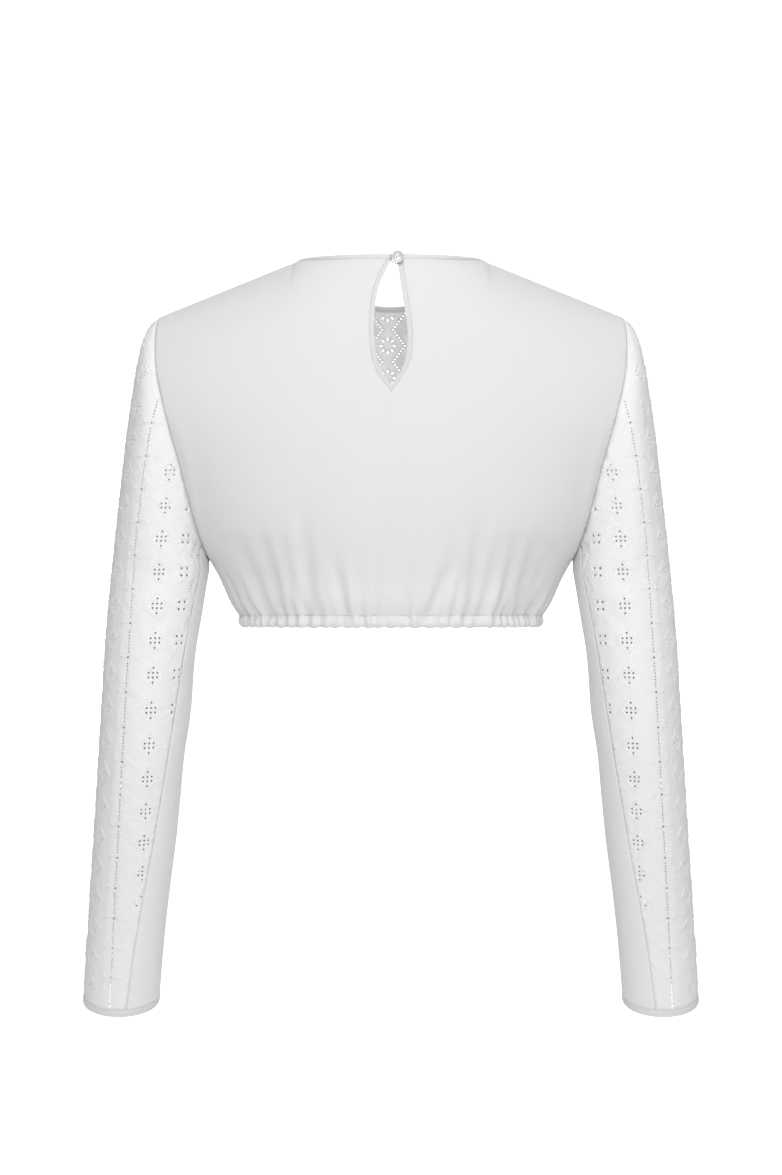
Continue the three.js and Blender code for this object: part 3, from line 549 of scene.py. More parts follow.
def cut_cloth(outline, holes, free):
    """Triangles over flat cloth: the outline's, the holes' and the free points joined edge to edge,
    with the faces inside a hole left out. Also returns, for each point, its place in the outline, or
    -1 for the others."""
    points = [outline]
    rings = [list(range(len(outline)))]
    count = len(outline)
    for hole in holes:
        points.append(hole if signed_area(hole) > 0 else hole[::-1])
        rings.append(list(range(count, count + len(hole))))
        count += len(hole)
    points.append(free)
    flat = np.vstack(points)
    vectors = [Vector(p) for p in flat.tolist()]
    out, _, faces, sources, _, owners = delaunay_2d_cdt(vectors, [], rings, 1, 1e-5, True)
    kept = np.array([f for f, owner in zip(faces, owners) if owner == [0]])
    place = np.array([min(source, default=len(flat)) for source in sources])
    used = np.unique(kept)
    order = np.zeros(len(out), int)
    order[used] = np.arange(len(used))
    place = np.where(place < len(outline), place, -1)
    return np.array([tuple(v) for v in out])[used], order[kept], place[used]


# Embroidery motifs, round (0, 0), in millimetres


def spin(points, angle):
    """Flat points turned round (0, 0)."""
    c, s = np.cos(angle), np.sin(angle)
    return points @ np.array([[c, s], [-s, c]])


def oval(x, y, half_x, half_y, turn=0.0, corners=8):
    """An oval of a few corners, turned and moved to its place."""
    a = 2 * np.pi * (np.arange(corners) + 0.5) / corners
    return spin(np.stack([half_x * np.cos(a), half_y * np.sin(a)], axis=1), turn) + (x, y)


def diamond_holes():
    """Eight small eyelets: two rows of three between one above and one below."""
    places = [(0, 6.1), (0, -6.1)] + [(x, y) for x in (-3.8, 0, 3.8) for y in (-1.85, 1.85)]
    return [(x, y, 0.84, 0.84, 0) for x, y in places]


def leaf_holes():
    """Four larger eyelets in a square."""
    return [(x, y, 1.1, 1.1, 0) for x in (-3, 3) for y in (-3, 3)]


def dotted_holes():
    """One larger eyelet, and eight small ones between it and the next."""
    apart = np.linspace(4.9, ROW - 4.9, 8)
    return [(0, 0, 0.95, 0.95, 0)] + [(0, y, 0.62, 0.62, 0) for y in apart]


ZIGZAG = {"inner": 4.8, "outer": 15.4, "steps": 6}
NOTCH_END = 14.5


def flower_holes():
    """Eight petals, and a zigzag of small eyelets to both sides."""
    petals = []
    for k in range(8):
        angle = np.pi * (k / 4)
        petals.append((5.9 * np.cos(angle), 5.9 * np.sin(angle), 1.55, 0.82, angle))
    steps = np.arange(-ZIGZAG["steps"], ZIGZAG["steps"]) / ZIGZAG["steps"]
    for sign in (-1, 1):
        for t in steps:
            x = ZIGZAG["outer"] - (ZIGZAG["outer"] - ZIGZAG["inner"]) * abs(t)
            petals.append((sign * x, t * ROW / 2, 0.76, 0.76, 0))
    return petals


MOTIF_HOLES = {"diamond": diamond_holes(), "leaf": leaf_holes(), "dotted": dotted_holes(),
               "flower": flower_holes()}


def leaf_strokes():
    """Satin leaves round the four eyelets: rows of x, y, half length, half width and turn."""
    rows = []
    for k in range(8):
        angle = np.pi * (k + 0.5) / 4
        rows.append((7.3 * np.cos(angle), 7.3 * np.sin(angle), 2.1, 0.75, angle + 0.35 * (-1) ** k))
    return rows


def diamond_strokes():
    """Two square outlines on their points, each side one satin bar."""
    rows = []
    for reach, half in ((8.4, 0.52), (11.0, 0.4)):
        for k in range(4):
            angle = np.pi * (k + 0.5) / 2
            middle = reach / np.sqrt(2)
            rows.append((middle * np.cos(angle), middle * np.sin(angle), middle, half, angle + np.pi / 2))
    return rows


def dotted_strokes():
    """A sprig to both sides of the larger eyelet: a stem and three small leaves."""
    rows = []
    for sign in (-1, 1):
        rows.append((sign * 5.4, 0.3, 3.8, 0.3, 0.06 * sign))
        for x, y, turn in ((4.4, 1.6, 0.8), (6.8, -1.3, -0.7), (9.8, 0.9, 0.35)):
            rows.append((sign * x, y, 1.5, 0.55, sign * turn))
    return rows


def flower_strokes():
    """Fine bars that fill the notches of the zigzag."""
    rows = []
    for y in np.arange(-6, 6.1, 2):
        reach = ZIGZAG["inner"] + 2.2 + abs(y) * 0.75
        middle = (reach + NOTCH_END) / 2
        for sign in (-1, 1):
            rows.append((sign * middle, ROW / 2 + y, (NOTCH_END - reach) / 2, 0.32, 0))
    return rows


MOTIF_STROKES = {"diamond": diamond_strokes(), "leaf": leaf_strokes(), "dotted": dotted_strokes(),
                 "flower": flower_strokes()}


def steps_over(low, high, first, pitch):
    """The steps from a first place that reach a little past both ends."""
    return range(int((low - first) // pitch) - 1, int((high - first) // pitch) + 2)


def motif_places(corners, first_column, first_row):
    """Kind and place of each motif that a cut piece holds: (kind, width, length)."""
    low, high = corners.min(axis=0), corners.max(axis=0)
    places = []
    for k in steps_over(low[0], high[0], first_column, COLUMN):
        kind = REPEAT[k % len(REPEAT)]
        shift = ROW / 2 if kind in HALF_DROP else 0
        for j in steps_over(low[1], high[1], first_row, ROW):
            places.append((kind, first_column + k * COLUMN, first_row + j * ROW + shift))
    return places


def spread(motifs, table):
    """The rows of every motif moved to its place, as one array."""
    rows = [np.array(table[kind], float) + (x, y, 0, 0, 0) for kind, x, y in motifs]
    return np.vstack(rows)


# Meshes


# Millimetres of flat cloth for one unit of UV
UV_UNIT = 100


def new_piece(name, points, faces, material, flat=None, smooth=True):
    """A mesh piece at the origin from points in millimetres, with its flat cut as UV; smooth is one
    value, or one for each face."""
    mesh = bpy.data.meshes.new(name)
    mesh.from_pydata((np.asarray(points) * MM).tolist(), [], [tuple(f) for f in faces])
    mesh.polygons.foreach_set("use_smooth", np.broadcast_to(smooth, len(mesh.polygons)))
    if flat is not None:
        corners = np.zeros(len(mesh.loops), int)
        mesh.loops.foreach_get("vertex_index", corners)
        uv = mesh.uv_layers.new(name="flat")
        uv.data.foreach_set("uv", (np.asarray(flat)[corners] / UV_UNIT).ravel())
    mesh.materials.append(material)
    piece = bpy.data.objects.new(name, mesh)
    bpy.context.scene.collection.objects.link(piece)
    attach(piece, BODY)
    return piece


def shell(name, points, normals, faces, thickness, material, flat):
    """A closed thin shell: the outer cloth, the inner cloth one thickness behind it, and a narrow rim
    along every free edge. Only the rim is shaded flat, so the cloth stays even up to its edges."""
    count = len(points)
    outer = np.array([tuple(face) for face in faces])
    begin, end = outer.ravel(), np.roll(outer, -1, axis=1).ravel()
    free = ~np.isin(begin * count + end, end * count + begin)
    a, b = begin[free], end[free]
    rim = np.stack([b, a, a + count, b + count], axis=1)
    inner = outer[:, ::-1] + count
    smooth = np.concatenate([np.ones(2 * len(outer), bool), np.zeros(len(rim), bool)])
    return new_piece(name, np.vstack([points, points - normals * thickness]),
                     outer.tolist() + inner.tolist() + rim.tolist(), material,
                     np.vstack([flat, flat]), smooth)


def facing(points, faces, normals):
    """Turns every face round when most look against the normals."""
    n = np.cross(points[faces[:, 1]] - points[faces[:, 0]], points[faces[:, 2]] - points[faces[:, 0]])
    return faces[:, ::-1] if (n * normals[faces[:, 0]]).sum() < 0 else faces


def grid_faces(rows, columns, closed=False):
    """Quads over a grid of rows and columns; closed joins the last column to the first."""
    i, j = np.meshgrid(np.arange(rows - 1), np.arange(columns if closed else columns - 1), indexing="ij")
    right = (j + 1) % columns
    quads = np.stack([i * columns + j, i * columns + right, (i + 1) * columns + right,
                      (i + 1) * columns + j], axis=-1)
    return quads.reshape(-1, 4)


class Cloth:
    """A piece of cloth in its worn place: a surface, its normals, its relief and, for a left
    sleeve, the mirror."""

    def __init__(self, surface, relief, sign=1, mirror=1):
        self.surface, self.relief, self.mirror = surface, relief, mirror
        self.normals, self.sign = outward_of(surface), sign

    def at(self, across, level, rise=0.0):
        """Points on the cloth and their normals; rise moves them out."""
        points = self.surface(across, level)
        normals = self.normals(across, level) * self.sign
        points = points + normals * (self.relief(across, level, points) + rise)[..., None]
        return points * (self.mirror, 1, 1), normals * (self.mirror, 1, 1)


# The worked ring round an eyelet: columns reach past its edge, height over the cloth
RING = ((0.0, -0.1), (0.32, 0.4), (0.75, -0.05))
# Height of a stroke's middle and of its sides over the cloth
STROKE_RISE = (0.55, -0.06)


def satin(name, cloth, cut, holes, strokes, material):
    """Embroidery as one mesh: a raised ring round every eyelet, and a ridge of satin for every
    stroke, thickest along its middle. Both follow the cloth."""
    corners = 8
    a = 2 * np.pi * (np.arange(corners) + 0.5) / corners
    unit = np.stack([np.cos(a), np.sin(a)], axis=1)
    rings = []
    for more, rise in RING:
        size = holes[:, None, 2:4] + more
        c, s = np.cos(holes[:, 4])[:, None], np.sin(holes[:, 4])[:, None]
        x, y = unit[None, :, 0] * size[..., 0], unit[None, :, 1] * size[..., 1]
        flat = np.stack([x * c - y * s + holes[:, 0:1], x * s + y * c + holes[:, 1:2]], axis=-1)
        rings.append((flat, rise))
    flat = np.stack([r[0] for r in rings], axis=1)
    rise = np.broadcast_to(np.array([r[1] for r in rings])[None, :, None], flat.shape[:3])
    count = len(holes)
    base = grid_faces(len(RING), corners, closed=True)
    faces = (base[None] + (np.arange(count) * len(RING) * corners)[:, None, None]).reshape(-1, 4)
    all_flat, all_rise = flat.reshape(-1, 2), rise.ravel()

    stops = np.linspace(-1, 1, 5)
    plump = np.sqrt(np.clip(1 - (stops * 0.94) ** 2, 0, 1))
    sides = np.array([-1, 0, 1])
    length = strokes[:, 2, None, None] * stops[None, :, None]
    breadth = strokes[:, 3, None, None] * plump[None, :, None] * sides[None, None, :]
    c, s = np.cos(strokes[:, 4])[:, None, None], np.sin(strokes[:, 4])[:, None, None]
    length = np.broadcast_to(length, breadth.shape)
    flat = np.stack([length * c - breadth * s + strokes[:, 0, None, None],
                     length * s + breadth * c + strokes[:, 1, None, None]], axis=-1)
    rise = np.where(sides == 0, *STROKE_RISE)[None, None, :] * np.ones_like(breadth)
    base = grid_faces(stops.size, sides.size)
    first = len(all_flat) + np.arange(len(strokes)) * stops.size * sides.size
    more_faces = (base[None] + first[:, None, None]).reshape(-1, 4)
    all_flat = np.vstack([all_flat, flat.reshape(-1, 2)])
    all_rise = np.concatenate([all_rise, rise.ravel()])
    faces = np.vstack([faces, more_faces])

    across, level = cut.place(all_flat)
    points, normals = cloth.at(across, level, all_rise)
    round_eyelets = count * (len(RING) - 1) * corners
    ring_faces = facing(points, faces[:round_eyelets], normals)
    stroke_faces = facing(points, faces[round_eyelets:], normals)
    return new_piece(name, points, list(ring_faces) + list(stroke_faces), material, all_flat)


# A hole wider than this is cleared by its outline, not by a circle
LARGEST_EYELET = 6
# Free points stay this share of the pitch from an outline, and this far from an eyelet
KEEP_CLEAR = {"outline": 0.45, "eyelet": 0.8}


def cloth_piece(name, cloth, cut, outline, holes, pitch, material):
    """A thin shell cut from flat cloth, laid on its surface."""
    free = lattice(outline, pitch, pitch * KEEP_CLEAR["outline"])
    round_holes = [hole for hole in holes if np.ptp(hole, axis=0).max() < LARGEST_EYELET]
    for hole in holes:
        if np.ptp(hole, axis=0).max() >= LARGEST_EYELET:
            near, inside = distance_to(free, hole)
            free = free[~inside & (near > pitch * KEEP_CLEAR["outline"])]
    if round_holes:
        centres = np.array([h.mean(axis=0) for h in round_holes])
        reach = np.array([np.linalg.norm(h - h.mean(axis=0), axis=1).max() for h in round_holes])
        clear = np.ones(len(free), bool)
        for start in range(0, len(centres), 300):
            part = slice(start, start + 300)
            gap = np.linalg.norm(free[:, None] - centres[None, part], axis=2) - reach[None, part]
            clear &= gap.min(axis=1) > KEEP_CLEAR["eyelet"]
        free = free[clear]
    flat, faces, place = cut_cloth(outline, holes, free)
    across, level = cut.place(flat)
    edge = place >= 0
    across[edge], level[edge] = (values[place[edge]] for values in cut.edge_places)
    points, normals = cloth.at(across, level)
    return shell(name, points, normals, facing(points, faces, normals), SHELL, material, flat)


def profile_piece(name, sections, material, closed=False):
    """A closed strip: one profile carried along a path. `sections` is an array of path steps by
    profile points; the ends are capped unless the path is closed."""
    steps, around, _ = sections.shape
    points = sections.reshape(-1, 3)
    faces = grid_faces(steps, around, closed=True)
    if closed:
        last = (steps - 1) * around + np.arange(around)
        first = np.arange(around)
        joint = np.stack([last, np.roll(last, -1), np.roll(first, -1), first], axis=1)
        faces = np.vstack([faces, joint])
    faces = [tuple(f) for f in faces]
    if not closed:
        faces += [tuple(range(around))[::-1], tuple(range((steps - 1) * around, steps * around))]
    centre = np.repeat(sections.mean(axis=1), around, axis=0)
    f = np.array([face[:3] for face in faces[:(steps - 1) * around]])
    n = np.cross(points[f[:, 1]] - points[f[:, 0]], points[f[:, 2]] - points[f[:, 0]])
    if (n * (points - centre)[f[:, 0]]).sum() < 0:
        faces = [tuple(reversed(face)) for face in faces]
    step = np.linalg.norm(np.diff(sections.mean(axis=1), axis=0), axis=1)
    along = np.concatenate([[0], np.cumsum(step)])
    gap = np.linalg.norm(np.diff(sections[steps // 2], axis=0), axis=1)
    over = np.concatenate([[0], np.cumsum(gap)])
    flat = np.stack(np.broadcast_arrays(along[:, None], over[None, :]), axis=-1).reshape(-1, 2)
    return new_piece(name, points, faces, material, flat)


def cut_size(outline):
    """The width, length and area of a flat cut, in metres."""
    return tuple(np.ptp(outline, axis=0) * MM), area_of(outline) * MM * MM


def ribbon_of_stitches(name, points, normals, pitch, material, half=0.85, radius=0.17):
    """A running line of stitches: short rods, spaced evenly by length, narrow at both ends, half
    sunk into the cloth."""
    step = np.linalg.norm(np.diff(points, axis=0), axis=1)
    along = np.concatenate([[0], np.cumsum(step)])
    at = np.arange(pitch, along[-1] - pitch / 2, pitch)

    def read(table, further=0.0):
        """A table of places read at each stitch, or a little further on."""
        return np.stack([np.interp(at + further, along, table[:, k]) for k in range(3)], axis=1)

    centre, up = read(points), read(normals)
    ahead = read(points, 0.5) - centre
    ahead /= np.linalg.norm(ahead, axis=1, keepdims=True)
    up /= np.linalg.norm(up, axis=1, keepdims=True)
    side = np.cross(ahead, up)
    sides = 5
    a = 2 * np.pi * np.arange(sides) / sides
    stops, size = np.array([-1, -0.7, 0.7, 1]), np.array([0.4, 1, 1, 0.4])
    ring = np.cos(a)[:, None, None] * side + np.sin(a)[:, None, None] * up
    rods = centre + (ahead * half)[None] * stops[:, None, None]
    rods = rods[:, None] + ring[None] * (size * radius)[:, None, None, None]
    rods = rods.transpose(2, 0, 1, 3)
    count = len(stops) * sides
    ends = [tuple(range(sides)), tuple(reversed(range(count - sides, count)))]
    base = [tuple(f) for f in grid_faces(len(stops), sides, closed=True)] + ends
    faces = [tuple(i + count * k for i in face) for k in range(len(at)) for face in base]
    return new_piece(name, rods.reshape(-1, 3), faces, material)


# Relief: how far the cloth stands out from its plain surface


def folds(x, y, table, grows):
    """Soft troughs: each is a bell across its line; along it the depth swells from nothing, and
    either stays to the end or fades again."""
    pull = np.zeros_like(x)
    for x0, y0, x1, y1, half, depth in table:
        run = np.array([x1 - x0, y1 - y0], float)
        length = np.hypot(*run)
        t = ((x - x0) * run[0] + (y - y0) * run[1]) / length**2
        off = ((x - x0) * run[1] - (y - y0) * run[0]) / length
        inside = np.clip(t, 0, 1)
        swell = inside**2 * (3 - 2 * inside) if grows else np.sin(np.pi * inside) ** 2
        widen = half * (1.25 - 0.45 * inside) if grows else half
        pull += depth * np.exp(-(off / widen) ** 2) * swell
    return pull


def gather_table(side):
    """Place, depth and reach of the gathers, in shares across."""
    if side == "back":
        rows = np.array(BACK_GATHERS, float)
        return np.arcsin(rows[:, 0] / SIDE_SEAM[-1][0]) / (np.pi / 2), rows[:, 1], rows[:, 2]
    k = np.arange(FRONT_GATHERS)
    at = -0.94 + k * 1.88 / (FRONT_GATHERS - 1) + 0.009 * np.sin(3.1 * k)
    return at, 1.7 + 0.6 * np.sin(2.3 * k), 45 + 25 * np.sin(1.7 * k + 1)


def gather_pull(side, across, height):
    """How far the gathers draw the cloth in: round troughs between crests, sharper near the casing
    and fading upward."""
    at, depth, reach = gather_table(side)
    crest = np.concatenate([[-1], (at[1:] + at[:-1]) / 2, [1]])
    pull = np.zeros_like(across)
    for k in range(len(at)):
        off = across - at[k]
        half = np.where(off < 0, at[k] - crest[k], crest[k + 1] - at[k])
        share = np.clip(np.abs(off) / np.maximum(half, 1e-4), 0, 1)
        fade = np.clip(1 - height / reach[k], 0, 1) ** 2
        pull += depth[k] * np.cos(np.pi / 2 * share) ** 2 * fade
    return pull


BLOUSING = {"height": 11, "half": 13, "rise": 1.8}
ROLL = {"gap": 9, "half": 6, "rise": 1.1, "from": 120, "to": 262, "margin": 50}
SEAM_DIP = {"half": 1.7, "sleeve": 0.1}
GATHER_STRENGTH = 2.2
FOLD_STRENGTH = 4.2
PUCKER = {"rise": 0.8, "fade": 9}
DEEPEST_PULL = 7
CASING_PHASE = {"back": 1.0, "front": 2.4}
CASING_PUFF = {"out": 1.2, "down": 0.7}


def ripple(across, phase):
    """An uneven run of small puffs, as elastic draws cloth up."""
    fine = np.sin(across * 118 + 2.2 * np.sin(across * 9 + phase))
    return (fine + 0.6 * np.sin(across * 71 + phase)) / 1.6


def eased_pull(pull):
    """A pull that never gets past the deepest one."""
    return DEEPEST_PULL * (1 - np.exp(-pull / DEEPEST_PULL))


def panel_relief(side, cut):
    """Gathers, soft folds, the fullness over the casing and the roll beside the armhole."""
    table = BACK_FOLDS if side == "back" else FRONT_FOLDS

    def relief(across, level, points):
        """How far each place stands out."""
        up = np.maximum(-level - HEM_Z, 0)
        out = BLOUSING["rise"] * np.exp(-((up - BLOUSING["height"]) / BLOUSING["half"]) ** 2)
        pull = GATHER_STRENGTH * gather_pull(side, across, up)
        pull = pull + FOLD_STRENGTH * folds(points[..., 0], points[..., 2], table, True)
        puff = ripple(across, CASING_PHASE[side])
        out = out - eased_pull(pull) + PUCKER["rise"] * puff * np.exp(-up / PUCKER["fade"])
        gap = cut.edge_gap(across, level)
        beside = window(level, ROLL["from"], ROLL["to"], ROLL["margin"])
        beside = beside * window(np.abs(across), 0.55, 2, 0.2)
        return out + ROLL["rise"] * np.exp(-((gap - ROLL["gap"]) / ROLL["half"]) ** 2) * beside

    return relief


def sleeve_relief(cut):
    """Soft folds on the flat cloth, the pressed line and the dip at the seams."""

    def relief(across, level, points):
        """How far each place stands out."""
        flat = cut.flat(across, level)
        out = -folds(flat[..., 0], flat[..., 1], SLEEVE_FOLDS, False)
        line = (flat[..., 0] - PRESSED_LINE["width"]) / PRESSED_LINE["half"]
        seen = window(level, PRESSED_LINE["from"], PRESSED_LINE["to"], PRESSED_LINE["margin"])
        out = out + PRESSED_LINE["rise"] * np.exp(-line**2) * seen
        gap = cut.edge_gap(across, level)
        return out - SEAM_DIP["sleeve"] * np.exp(-(gap / SEAM_DIP["half"]) ** 2)

    return relief


# Materials


def node(tree, kind, **values):
    """A shader node with some of its settings."""
    made = tree.nodes.new(kind)
    for name, value in values.items():
        setattr(made, name, value)
    return made


def grey(value, gain=1.0):
    """A neutral colour from one brightness."""
    return (value * gain, value * gain, value * gain * 1.003, 1)


def noise(tree, source, scale, detail, distortion=0.0):
    """Cloudy values over a source of places."""
    made = node(tree, "ShaderNodeTexNoise")
    made.inputs["Scale"].default_value = scale
    made.inputs["Detail"].default_value = detail
    made.inputs["Distortion"].default_value = distortion
    tree.links.new(source, made.inputs["Vector"])
    return made.outputs["Fac"]


def bump(tree, height, strength, distance, under=None):
    """Fine relief, on top of another if one is given."""
    made = node(tree, "ShaderNodeBump")
    made.inputs["Strength"].default_value = strength
    made.inputs["Distance"].default_value = distance
    tree.links.new(height, made.inputs["Height"])
    if under is not None:
        tree.links.new(under, made.inputs["Normal"])
    return made.outputs["Normal"]


def ramp_of(tree, value, low, high, start, stop):
    """A colour between two, as a value goes from start to stop."""
    made = node(tree, "ShaderNodeValToRGB")
    for element, position, colour in zip(made.color_ramp.elements, (start, stop), (low, high)):
        element.position, element.color = position, colour
    tree.links.new(value, made.inputs["Fac"])
    return made.outputs["Color"]


THREAD_PITCH = 0.45
# Millimetres between the bands of a wave texture with a scale of one
BAND_PITCH = 31.4


def cotton(name, light, shade, weave, crumple, pucker, through):
    """Woven cotton: warp and weft threads over the flat cut, uneven yarn, a soft crumple, small
    puckers as embroidery draws them, a little fuzz, and some light through the cloth."""
    material = bpy.data.materials.new(name)
    material.use_nodes = True
    tree = material.node_tree
    tree.nodes.clear()
    link = tree.links.new
    place = node(tree, "ShaderNodeTexCoord").outputs
    bands = []
    for direction in ("X", "Y"):
        wave = node(tree, "ShaderNodeTexWave", wave_type="BANDS", bands_direction=direction)
        wave.inputs["Scale"].default_value = BAND_PITCH / THREAD_PITCH
        wave.inputs["Distortion"].default_value = 0.6
        wave.inputs["Detail Scale"].default_value = 3
        link(place["UV"], wave.inputs["Vector"])
        bands.append(wave.outputs["Fac"])
    threads = node(tree, "ShaderNodeMath", operation="MULTIPLY")
    link(bands[0], threads.inputs[0])
    link(bands[1], threads.inputs[1])
    slub_map = node(tree, "ShaderNodeMapping")
    slub_map.inputs["Scale"].default_value = (14, 160, 1)
    link(place["UV"], slub_map.inputs["Vector"])
    slub = noise(tree, slub_map.outputs["Vector"], 1, 3)
    colour = ramp_of(tree, slub, grey(shade), grey(light), 0.3, 0.72)
    normal = bump(tree, threads.outputs["Value"], weave, 0.0001)
    normal = bump(tree, noise(tree, place["Object"], 34, 2.5), crumple, 0.004, normal)
    if pucker:
        normal = bump(tree, noise(tree, place["Object"], 120, 2, 0.4), pucker, 0.0012, normal)
    shader = node(tree, "ShaderNodeBsdfPrincipled")
    shader.inputs["Roughness"].default_value = 0.88
    shader.inputs["Specular IOR Level"].default_value = 0.2
    shader.inputs["Sheen Weight"].default_value = 0.08
    shader.inputs["Sheen Roughness"].default_value = 0.5
    link(colour, shader.inputs["Base Color"])
    link(normal, shader.inputs["Normal"])
    glow = node(tree, "ShaderNodeBsdfTranslucent")
    link(colour, glow.inputs["Color"])
    link(normal, glow.inputs["Normal"])
    mix = node(tree, "ShaderNodeMixShader")
    mix.inputs["Fac"].default_value = through
    link(shader.outputs["BSDF"], mix.inputs[1])
    link(glow.outputs["BSDF"], mix.inputs[2])
    out = node(tree, "ShaderNodeOutputMaterial")
    link(mix.outputs["Shader"], out.inputs["Surface"])
    return material


def smooth_material(name, low, high, scale, distortion, roughness, relief):
    """A plain shader whose colour and fine relief follow one noise."""
    material = bpy.data.materials.new(name)
    material.use_nodes = True
    tree = material.node_tree
    shader = tree.nodes["Principled BSDF"]
    cloud = noise(tree, node(tree, "ShaderNodeTexCoord").outputs["Object"], scale, 2, distortion)
    tree.links.new(ramp_of(tree, cloud, grey(low), grey(high), 0.2, 0.8), shader.inputs["Base Color"])
    tree.links.new(bump(tree, cloud, relief, 0.0001), shader.inputs["Normal"])
    shader.inputs["Roughness"].default_value = roughness
    return material, shader


def thread(name, brightness, roughness, scale):
    """Mercerised thread: fine streaks and a soft shine."""
    material, shader = smooth_material(name, brightness * 0.94, brightness, scale, 0.0, roughness, 0.25)
    shader.inputs["Sheen Weight"].default_value = 0.1
    return material


def pearl(name):
    """A pearly button: pale grey with a faint cloud in it and a clear gloss."""
    material, shader = smooth_material(name, 0.52, 0.7, 320, 1.5, 0.3, 0.02)
    shader.inputs["Coat Weight"].default_value = 0.3
    shader.inputs["Coat Roughness"].default_value = 0.15
    return material


PLAIN = cotton("plain_cotton_cloth", 0.845, 0.825, 0.3, 0.08, 0.0, 0.18)
# Painted light: the front's cloth is given a brighter colour than the plain cloth. This stands in for light
# in the shade inside the blouse, where the front is seen through the keyhole.
EYELET = cotton("eyelet_front_cloth", 0.89, 0.86, 0.35, 0.14, 0.35, 0.6)
# Painted light: the sleeves' cloth is given a brighter colour than the plain cloth. This makes up for the
# light the sleeves lose further from the lamps.
SLEEVE_EYELET = cotton("eyelet_sleeve_cloth", 0.895, 0.87, 0.35, 0.24, 1.0, 0.08)
UNDER = cotton("plain_under_sleeve_cloth", 0.86, 0.83, 0.3, 0.14, 0.1, 0.08)
EDGE = cotton("turned_edge_cloth", 0.86, 0.84, 0.3, 0.06, 0.0, 0.35)
SATIN = thread("satin_thread", 0.9, 0.5, 900)
SEWING = thread("sewing_thread", 0.86, 0.6, 1200)
CORD = thread("loop_cord_thread", 0.4, 0.6, 1500)
PEARL = pearl("pearl_button_finish")


# Body panels


# Width and length on the flat cloth where the repeat of motifs begins
FRONT_MOTIF = (-3.0, 40.8 - ROW / 2)
SLEEVE_MOTIF = (2 * COLUMN, 214.9)
# The front half of the sleeve is cut fuller beyond this width, by this factor
SLEEVE_EASE = {"from": -50, "factor": 1.018}


def panel_outline(side, cut):
    """The flat outline of a panel: shoulders and neckline, armhole and side seam, hem, and back."""
    top_across = np.linspace(-1, 1, 150)
    top_level = -top_edge(side, np.abs(top_across))[1]
    armhole_z = armhole_at(side, np.linspace(0, 1, 80))[2]
    seam_z = seam_samples()[::4, 2]
    edge = -np.concatenate([armhole_z[1:], seam_z[1:-1], [HEM_Z]])
    edge = np.maximum.accumulate(np.maximum(edge, -TIP_Z))
    hem_across = np.linspace(1, -1, 140)[1:-1]
    across = np.concatenate([top_across, np.ones(len(edge)), hem_across, -np.ones(len(edge))])
    level = np.concatenate([top_level, edge, np.full(len(hem_across), -HEM_Z), edge[::-1]])
    return cut.cut_out(across, level)


def panel_cut(side):
    """The flat cut of a panel, whose width grows to both sides of its middle."""

    def begins(across):
        """The level of the top edge."""
        return -top_edge(side, np.minimum(np.abs(across), 1))[1]

    def from_middle(across, width, points, level):
        """The shift that puts nought at the middle."""
        return -width[len(width) // 2]

    return FlatCloth(panel(side), 0.0, -HEM_Z, begins, from_middle)


# Where the search for a place begins: x in millimetres for one unit across
FIRST_GUESS = 250


def panel_place(side, x, z):
    """Across and level of a place on a panel given by x and height: the arc's sine, solved again a
    few times as the top edge above the place changes."""
    a = np.abs(x) / FIRST_GUESS
    for _ in range(8):
        top_z = top_edge(side, np.minimum(a, 1))[1]
        fall = np.clip((top_z - z) / (top_z - UNDERARM_Z), 0, 1)
        edge_x, _ = side_edge(side, TIP_Z + (UNDERARM_Z - TIP_Z) * fall)
        turn = np.radians(smooth_read(WRAP, fall))
        a = np.arcsin(np.clip(np.abs(x) * np.sin(turn) / edge_x, 0, 1)) / turn
    return a * np.sign(x), -z


def keyhole_edge(more, top=-4.2, samples=44):
    """The keyhole's outline let out all round: left edge down, the pointed tip, right edge up."""
    share = np.linspace(0, 1, 200)
    rows = np.array(KEYHOLE, float)
    z, left, right = (smooth_read(rows[:, k], share) for k in range(3))
    down = np.linspace(top, rows[-1, 0], samples)
    left = np.interp(-down, -z, left) - more
    right = np.interp(-down, -z, right) + more
    tip = np.array([[KEYHOLE_TIP[0], KEYHOLE_TIP[1] - TIP_LET_OUT * more]])
    leg = np.linspace(0, 1, 5)[1:-1, None]
    a, b = np.array([[left[-1], down[-1]]]), np.array([[right[-1], down[-1]]])
    return np.vstack([np.stack([left, down], axis=1), a + (tip - a) * leg, tip, tip + (b - tip) * leg,
                      np.stack([right, down], axis=1)[::-1]])


# The slit in the cloth ends this far under the facing, and opens this far above the neckline
SLIT_UNDER_FACING = 0.8
SLIT_TOP = 6
# The sewn bar under the keyhole's tip: columns x, z
BAR_TACK = np.array([(-3.4, -121.6), (-1, -122.3), (1.6, -122.3), (4.2, -121.6)])


def make_back():
    """The plain back panel with the slit of the keyhole cut out, a little larger than the opening."""
    cut = panel_cut("back")
    outline = panel_outline("back", cut)
    cloth = Cloth(panel("back"), panel_relief("back", cut), sign=SIGN["back"])
    slit = keyhole_edge(BINDING - SLIT_UNDER_FACING, top=SLIT_TOP)
    across, level = panel_place("back", slit[:, 0], slit[:, 1])
    hole = cut.flat(across, level)
    hole[0, 1] = hole[-1, 1] = -SLIT_TOP
    piece = cloth_piece("back", cloth, cut, outline, [hole], 2.6, PLAIN)
    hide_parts("back_panel")
    return piece, cloth, outline


def on_back(cloth, xz, rise):
    """Points and normals on the back panel at places given by x and height."""
    across, level = panel_place("back", xz[:, 0], xz[:, 1])
    return cloth.at(across, level, rise)


